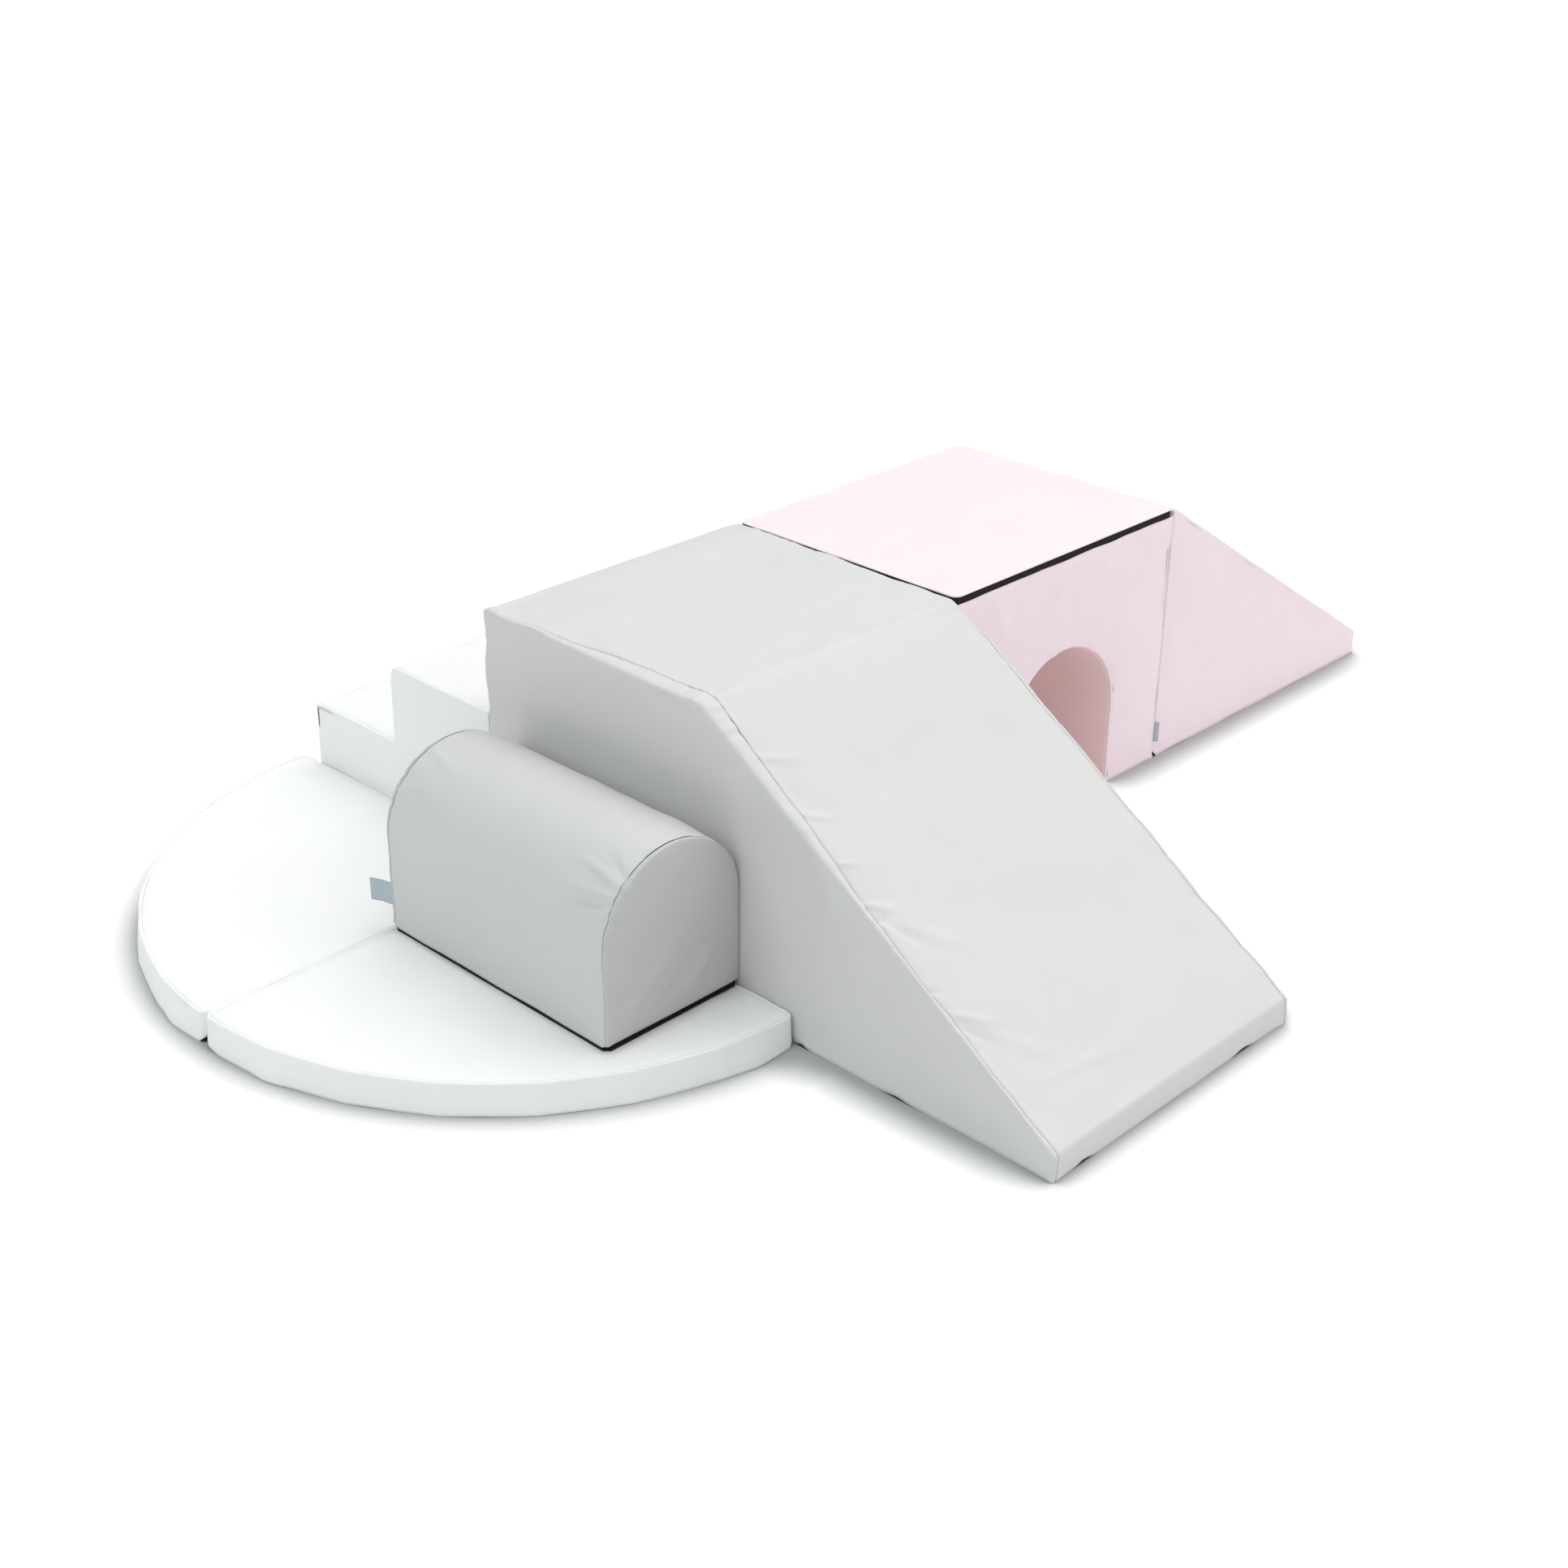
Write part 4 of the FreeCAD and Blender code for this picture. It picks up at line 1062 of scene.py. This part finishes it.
def tunnel_zip():
    """The tape round the tunnel's lid, in one strip with a return at each end of the hinge side."""
    low, high = box_of("tunnel_zip")
    foot = box_of("tunnel_foam")[1][2] - ZIP_BAND - TAPE_SHOWN - 0.002
    x, y = (high - low)[:2]
    gap = 0.5 * x - ZIP_RETURN
    path = rounded(((x / 2 - gap, y), (0, y), (0, 0), (x, 0), (x, y), (x / 2 + gap, y)), (ZIP_CORNER,) * 4)
    middle = (low[2] + high[2]) / 2
    coil = [(0.0, 0.0026), (-COIL, 0.0022), (-COIL, 0.0004)]
    section = [(0.0, foot)] + [(depth, middle - away) for depth, away in coil] + [(0.0, middle)]
    section += [(depth, middle + away) for depth, away in coil[::-1]]
    section += [(0.0, high[2]), (TAPE, high[2]), (TAPE, foot), (0.0, foot)]
    cover = Cover()
    rows = [cover.add(raised(low[:2] + path.at(depth), height)) for depth, height in section]
    cover.weave(rows, "tape")
    ends = [[int(row[0]) for row in rows[:-1]], [int(row[-1]) for row in rows[-2::-1]]]
    plain_piece("tunnel_zip_tape", cover, cover.faces["tape"] + ends, "zip", "tunnel", "tunnel_zip")


def side_tag(block, route):
    """A folded ribbon sewn into a seam, along a route of points in plan. It is bare."""
    low, high = box_of(f"{block}_side_tag")
    route = np.array(route)
    steps = np.concatenate([[0.0], np.cumsum(np.linalg.norm(np.diff(route, axis=0), axis=1))])
    share = np.linspace(0, steps[-1], TAG_COLUMNS)
    line = np.stack([np.interp(share, steps, route[:, axis]) for axis in (0, 1)], axis=1)
    for _ in range(TAG_SMOOTHINGS):
        line[1:-1] = (line[:-2] + 2 * line[1:-1] + line[2:]) / 4
    way = np.gradient(line, axis=0)
    way /= np.linalg.norm(way, axis=1)[:, None]
    across = np.stack([way[:, 1], -way[:, 0]], axis=1)
    half = TAG_HALF * np.sqrt(np.clip((share[-1] - share) / 0.001, 0.02, 1))
    cover, rows = Cover(), []
    levels = np.linspace(low[2], high[2], TAG_ROWS)
    for side, order in ((1, levels), (-1, levels[::-1])):
        for level in order:
            sway = 0.0006 * math.sin((level - low[2]) * 90) * (share / share[-1])
            rows.append(cover.add(raised(line + across * (side * half + sway)[:, None], level)))
    cover.weave(rows + rows[:1], "ribbon")
    plain_piece(f"{block}_ribbon_tag", cover, cover.faces["ribbon"], "tag", block, f"{block}_side_tag")


def closed(corners, radius):
    """A closed profile of straight sides with rounded corners, whose inside is on its right."""
    corners = np.array(corners, float)
    start = (corners[-1] + corners[0]) / 2
    path = rounded(np.vstack([start, corners, start]), (radius,) * len(corners))
    return Path(path.points[:-1], path.inward[:-1])


def quarter_disc(radius, corner, mirrored):
    """A quarter disc that lies on the -y side, on -x or, mirrored, on +x. Its inside is on its right."""
    reach = math.sqrt((radius - corner) ** 2 - corner ** 2)
    tilt = math.degrees(math.asin(corner / (radius - corner)))
    arcs = (((-corner, -corner), corner, 0, 90),
            ((-reach, -corner), corner, 90, 180 + tilt),
            ((0, 0), radius, 180 + tilt, 270 - tilt),
            ((-corner, -reach), corner, 270 - tilt, 360))
    points, inward = [], []

    def straight_to(place):
        """Points on the way from the last one to a place, without it."""
        origin, count = points[-1], round(np.linalg.norm(place - points[-1]) / NET)
        points.extend([origin + (place - origin) * part / count for part in range(1, count)])
        inward.extend([inward[-1]] * (count - 1))

    for centre, size, start, end in arcs:
        count = max(8, round(math.radians(end - start) * size / NET))
        for step in range(count + 1):
            angle = math.radians(start + (end - start) * step / count)
            out = np.array((math.cos(angle), math.sin(angle)))
            place = np.array(centre) + out * size
            gap = np.linalg.norm(place - points[-1]) if points else NET
            if gap < TINY:
                continue
            if gap > 2 * NET:
                straight_to(place)
            points.append(place)
            inward.append(-out)
    straight_to(points[0])
    flip = np.array((-1.0 if mirrored else 1.0, 1.0))
    return Path(np.array(points) * flip, np.array(inward) * flip)


def mat_levels(thick):
    """Rings of a mat's cover from its hem to its top, as (depth, height, measure past the seam)."""
    edge = MAT_RIM * math.pi / 2
    seam = edge + MAT_SEAM - MAT_RIM
    straight = thick - MAT_RIM - HEM_START
    levels = [(0.0, HEM_START + straight * step / BAND_RINGS, -seam - straight * (1 - step / BAND_RINGS))
              for step in range(BAND_RINGS)]
    for angle in np.linspace(0, math.pi / 2, RIM_STEPS):
        levels.append((MAT_RIM * (1 - math.cos(angle)), thick - MAT_RIM * (1 - math.sin(angle)),
                       MAT_RIM * angle - seam))
    return levels + [(MAT_SEAM + step, thick, step) for step in NEAR_SEAM[:TOP_RINGS]]


def mat_net(path, centre, thick, band, top):
    cover, rings = Cover(), []
    levels = mat_levels(thick)
    for depth, height, past in levels:
        rings.append(cover.add(raised(centre + path.at(depth), height), path.along, past, 0.0))
    rings = np.array(rings)
    rings = np.hstack([rings, rings[:, :1]])
    first = len(levels) - TOP_RINGS + NEAR_SEAM.index(0.0)
    cover.weave(rings[:first + 1], band)
    cover.weave(rings[first:], top)
    cover.fill(rings[-1, :-1], top, [0, 1], -NEAR_SEAM[TOP_RINGS - 1])
    return cover


def mat(side):
    low, high = box_of(f"{side}_mat_base")
    thick = box_of(f"{side}_mat_top_panel")[1][2]
    radius, mirrored = high[0] - low[0], side == "right"
    centre = np.array((low[0] if mirrored else high[0], high[1]))
    parts = panel_parts(f"{side}_mat", ("side_band", "top_panel"), "white_cover", WHITE)
    cover = mat_net(quarter_disc(radius, MAT_CORNER, mirrored), centre, thick, *parts)

    def bearing(points, soft):
        """The angle along the arc, and how far a point belongs to the arc, soft at its ends."""
        offset = points[:, :2] - centre
        angle = np.degrees(np.arctan2(-offset[:, 1], np.abs(offset[:, 0])))
        on_arc = np.clip((np.linalg.norm(offset, axis=1) - radius + 0.03) / 0.02, 0, 1)
        return angle, on_arc * np.clip(np.minimum(angle, 90 - angle) / soft, 0, 1)

    def form(points, normals):
        """The arc is cut in straight facets, and the band leans out over its zip and over its pull."""
        angle, on_arc = bearing(points, 4)
        facet = math.radians(90 / FACETS)
        local = np.radians(angle) % facet - facet / 2
        cut = radius * (1 - np.cos(facet / 2) / np.cos(local))
        flat = np.linalg.norm(normals[:, :2], axis=1)
        lean = BAND_LEAN
        for place, more in PULL_PLACES:
            lean = lean + bump_up(angle, place if mirrored else 90 - place, 3.0, more)
        lean = lean * np.clip((thick - 0.006 - points[:, 2]) / 0.030, 0, 1)
        return on_arc * flat * (lean + 0.0012 - 0.6 * cut)

    def level(points):
        angle, on_arc = bearing(points, 1.2)
        loose = floor_hem(points, 9 + mirrored, 0.0005, 0.15)
        if mirrored:
            loose = loose + bump_up(angle, 90, 2.2, 0.006)
        return mixed(ZIP_HEM, loose, on_arc)

    under = box_of("half_round_base")

    def below_block(points):
        inside = (points[:, 0] > under[0][0] - 0.01) & (points[:, 0] < under[1][0] + 0.01)
        return (inside & (points[:, 1] > under[0][1] - 0.01)).astype(float)

    inner_side = (-1 if mirrored else 1, 0, 0)
    pressed = (((0, 0, 1), below_block), ((0, 1, 0), everywhere), (inner_side, everywhere))
    sew_lying(cover, f"{side}_mat", 71 + 7 * mirrored, parts, level, pressed, crown=0.002, pucker=0.0006,
              form=form)


def half_round_tag_route():
    """Out of the seam, past the corner of the block, and curling towards the near side."""
    low, high = box_of("half_round_side_tag")
    return ((high[0] + 0.006, high[1]), (high[0] - 0.008, high[1] - 0.001), (low[0] + 0.002, low[1] - 0.007),
            (low[0] - 0.014, low[1] - 0.015))


def ramp_tag_route():
    """Along the gap beside the tunnel, and round the ramp's soft corner."""
    low, high = box_of("ramp_side_tag")
    middle = (low[1] + high[1]) / 2
    return ((low[0] + 0.010, middle), (high[0] + 0.008, middle), (high[0] + 0.014, middle + 0.001),
            (high[0] + 0.019, middle + 0.005))


slide()
stairs()
half_round()
ramp()
tunnel()
lid()
tunnel_zip()
side_tag("half_round", half_round_tag_route())
side_tag("ramp", ramp_tag_route())
mat("left")
mat("right")
paint_nodes()

# ---------------------------------------------------------------- floor, light and camera


def shown_to_camera(nodes, links, other, seen, output):
    """Show one shader to the camera, and another to every other ray."""
    path = nodes.new("ShaderNodeLightPath")
    mix = nodes.new("ShaderNodeMixShader")
    links.new(path.outputs["Is Camera Ray"], mix.inputs[0])
    links.new(other.outputs[0], mix.inputs[1])
    links.new(seen.outputs[0], mix.inputs[2])
    links.new(mix.outputs[0], output.inputs["Surface"])


def floor():
    """A plain pale floor. It looks white to the camera, except for the shadow where a block stands on it."""
    mesh = bpy.data.meshes.new("floor")
    corners = ((-1, -1, 0), (1, -1, 0), (1, 1, 0), (-1, 1, 0))
    mesh.from_pydata([Vector(corner) * FLOOR_HALF for corner in corners], [], [(0, 1, 2, 3)])
    paint = Paint("floor_paint")
    nodes, links = paint.nodes, paint.links
    nodes.remove(paint.shader)
    bounce = new_node(nodes, "ShaderNodeBsdfDiffuse", Color=(0.86, 0.86, 0.86, 1))
    shaded = new_node(nodes, "ShaderNodeBsdfDiffuse", Color=(0.46, 0.46, 0.46, 1))
    near = new_node(nodes, "ShaderNodeAmbientOcclusion", Distance=0.10)
    near.samples = 16
    glow = nodes.new("ShaderNodeEmission")
    seen = nodes.new("ShaderNodeAddShader")
    links.new(paint.remap(near.outputs["AO"], 0.0, 0.75, 0.58, 0.98), glow.inputs["Strength"])
    links.new(shaded.outputs[0], seen.inputs[0])
    links.new(glow.outputs[0], seen.inputs[1])
    shown_to_camera(nodes, links, bounce, seen, nodes["Material Output"])
    mesh.materials.append(paint.material)
    add_object("floor", mesh)


def world():
    """A white background for the camera, and soft sky light for everything else."""
    background = bpy.data.worlds.new("studio")
    bpy.context.scene.world = background
    background.use_nodes = True
    nodes, links = background.node_tree.nodes, background.node_tree.links
    soft = set_inputs(nodes["Background"], Color=(0.93, 0.975, 1.0, 1), Strength=0.36)
    white = new_node(nodes, "ShaderNodeBackground", Color=(1, 1, 1, 1), Strength=1.0)
    shown_to_camera(nodes, links, soft, white, nodes["World Output"])


def sun(name, direction, strength, colour, spread):
    """A lamp that shines in a direction. spread is its width in degrees."""
    light = bpy.data.lights.new(name, "SUN")
    light.energy = strength
    light.color = colour
    light.angle = math.radians(spread)
    add_object(name, light).rotation_euler = Vector(direction).to_track_quat("-Z", "Y").to_euler()


def camera():
    """The camera at the reference view, from its bearing, its tilt and its roll."""
    bearing, tilt, roll = math.radians(133.8346), math.radians(26.9245), math.radians(0.6023)
    ahead = Vector((math.cos(bearing) * math.cos(tilt), math.sin(bearing) * math.cos(tilt), -math.sin(tilt)))
    right = Vector((math.sin(bearing), -math.cos(bearing), 0))
    up = right.cross(ahead)
    right, up = (math.cos(roll) * right + math.sin(roll) * up, -math.sin(roll) * right + math.cos(roll) * up)
    data = bpy.data.cameras.new("camera")
    data.sensor_width = 36.0
    data.lens = 51.79
    data.clip_end = 200.0
    obj = add_object("camera", data)
    rotation = Matrix((right, up, -ahead)).transposed().to_4x4()
    obj.matrix_world = Matrix.Translation((2.0659, -2.3596, 1.8870)) @ rotation
    bpy.context.scene.camera = obj


floor()
world()
sun("key", (0.09, -0.47, -0.88), 1.82, (1, 0.985, 0.97), 75)
sun("fill", (0, 0.8, -1), 1.05, (0.91, 0.975, 1.0), 60)
sun("side", (-0.8, -0.8, -0.5), 0.52, (1, 0.98, 0.975), 50)
camera()
bpy.context.scene.view_settings.view_transform = "Standard"
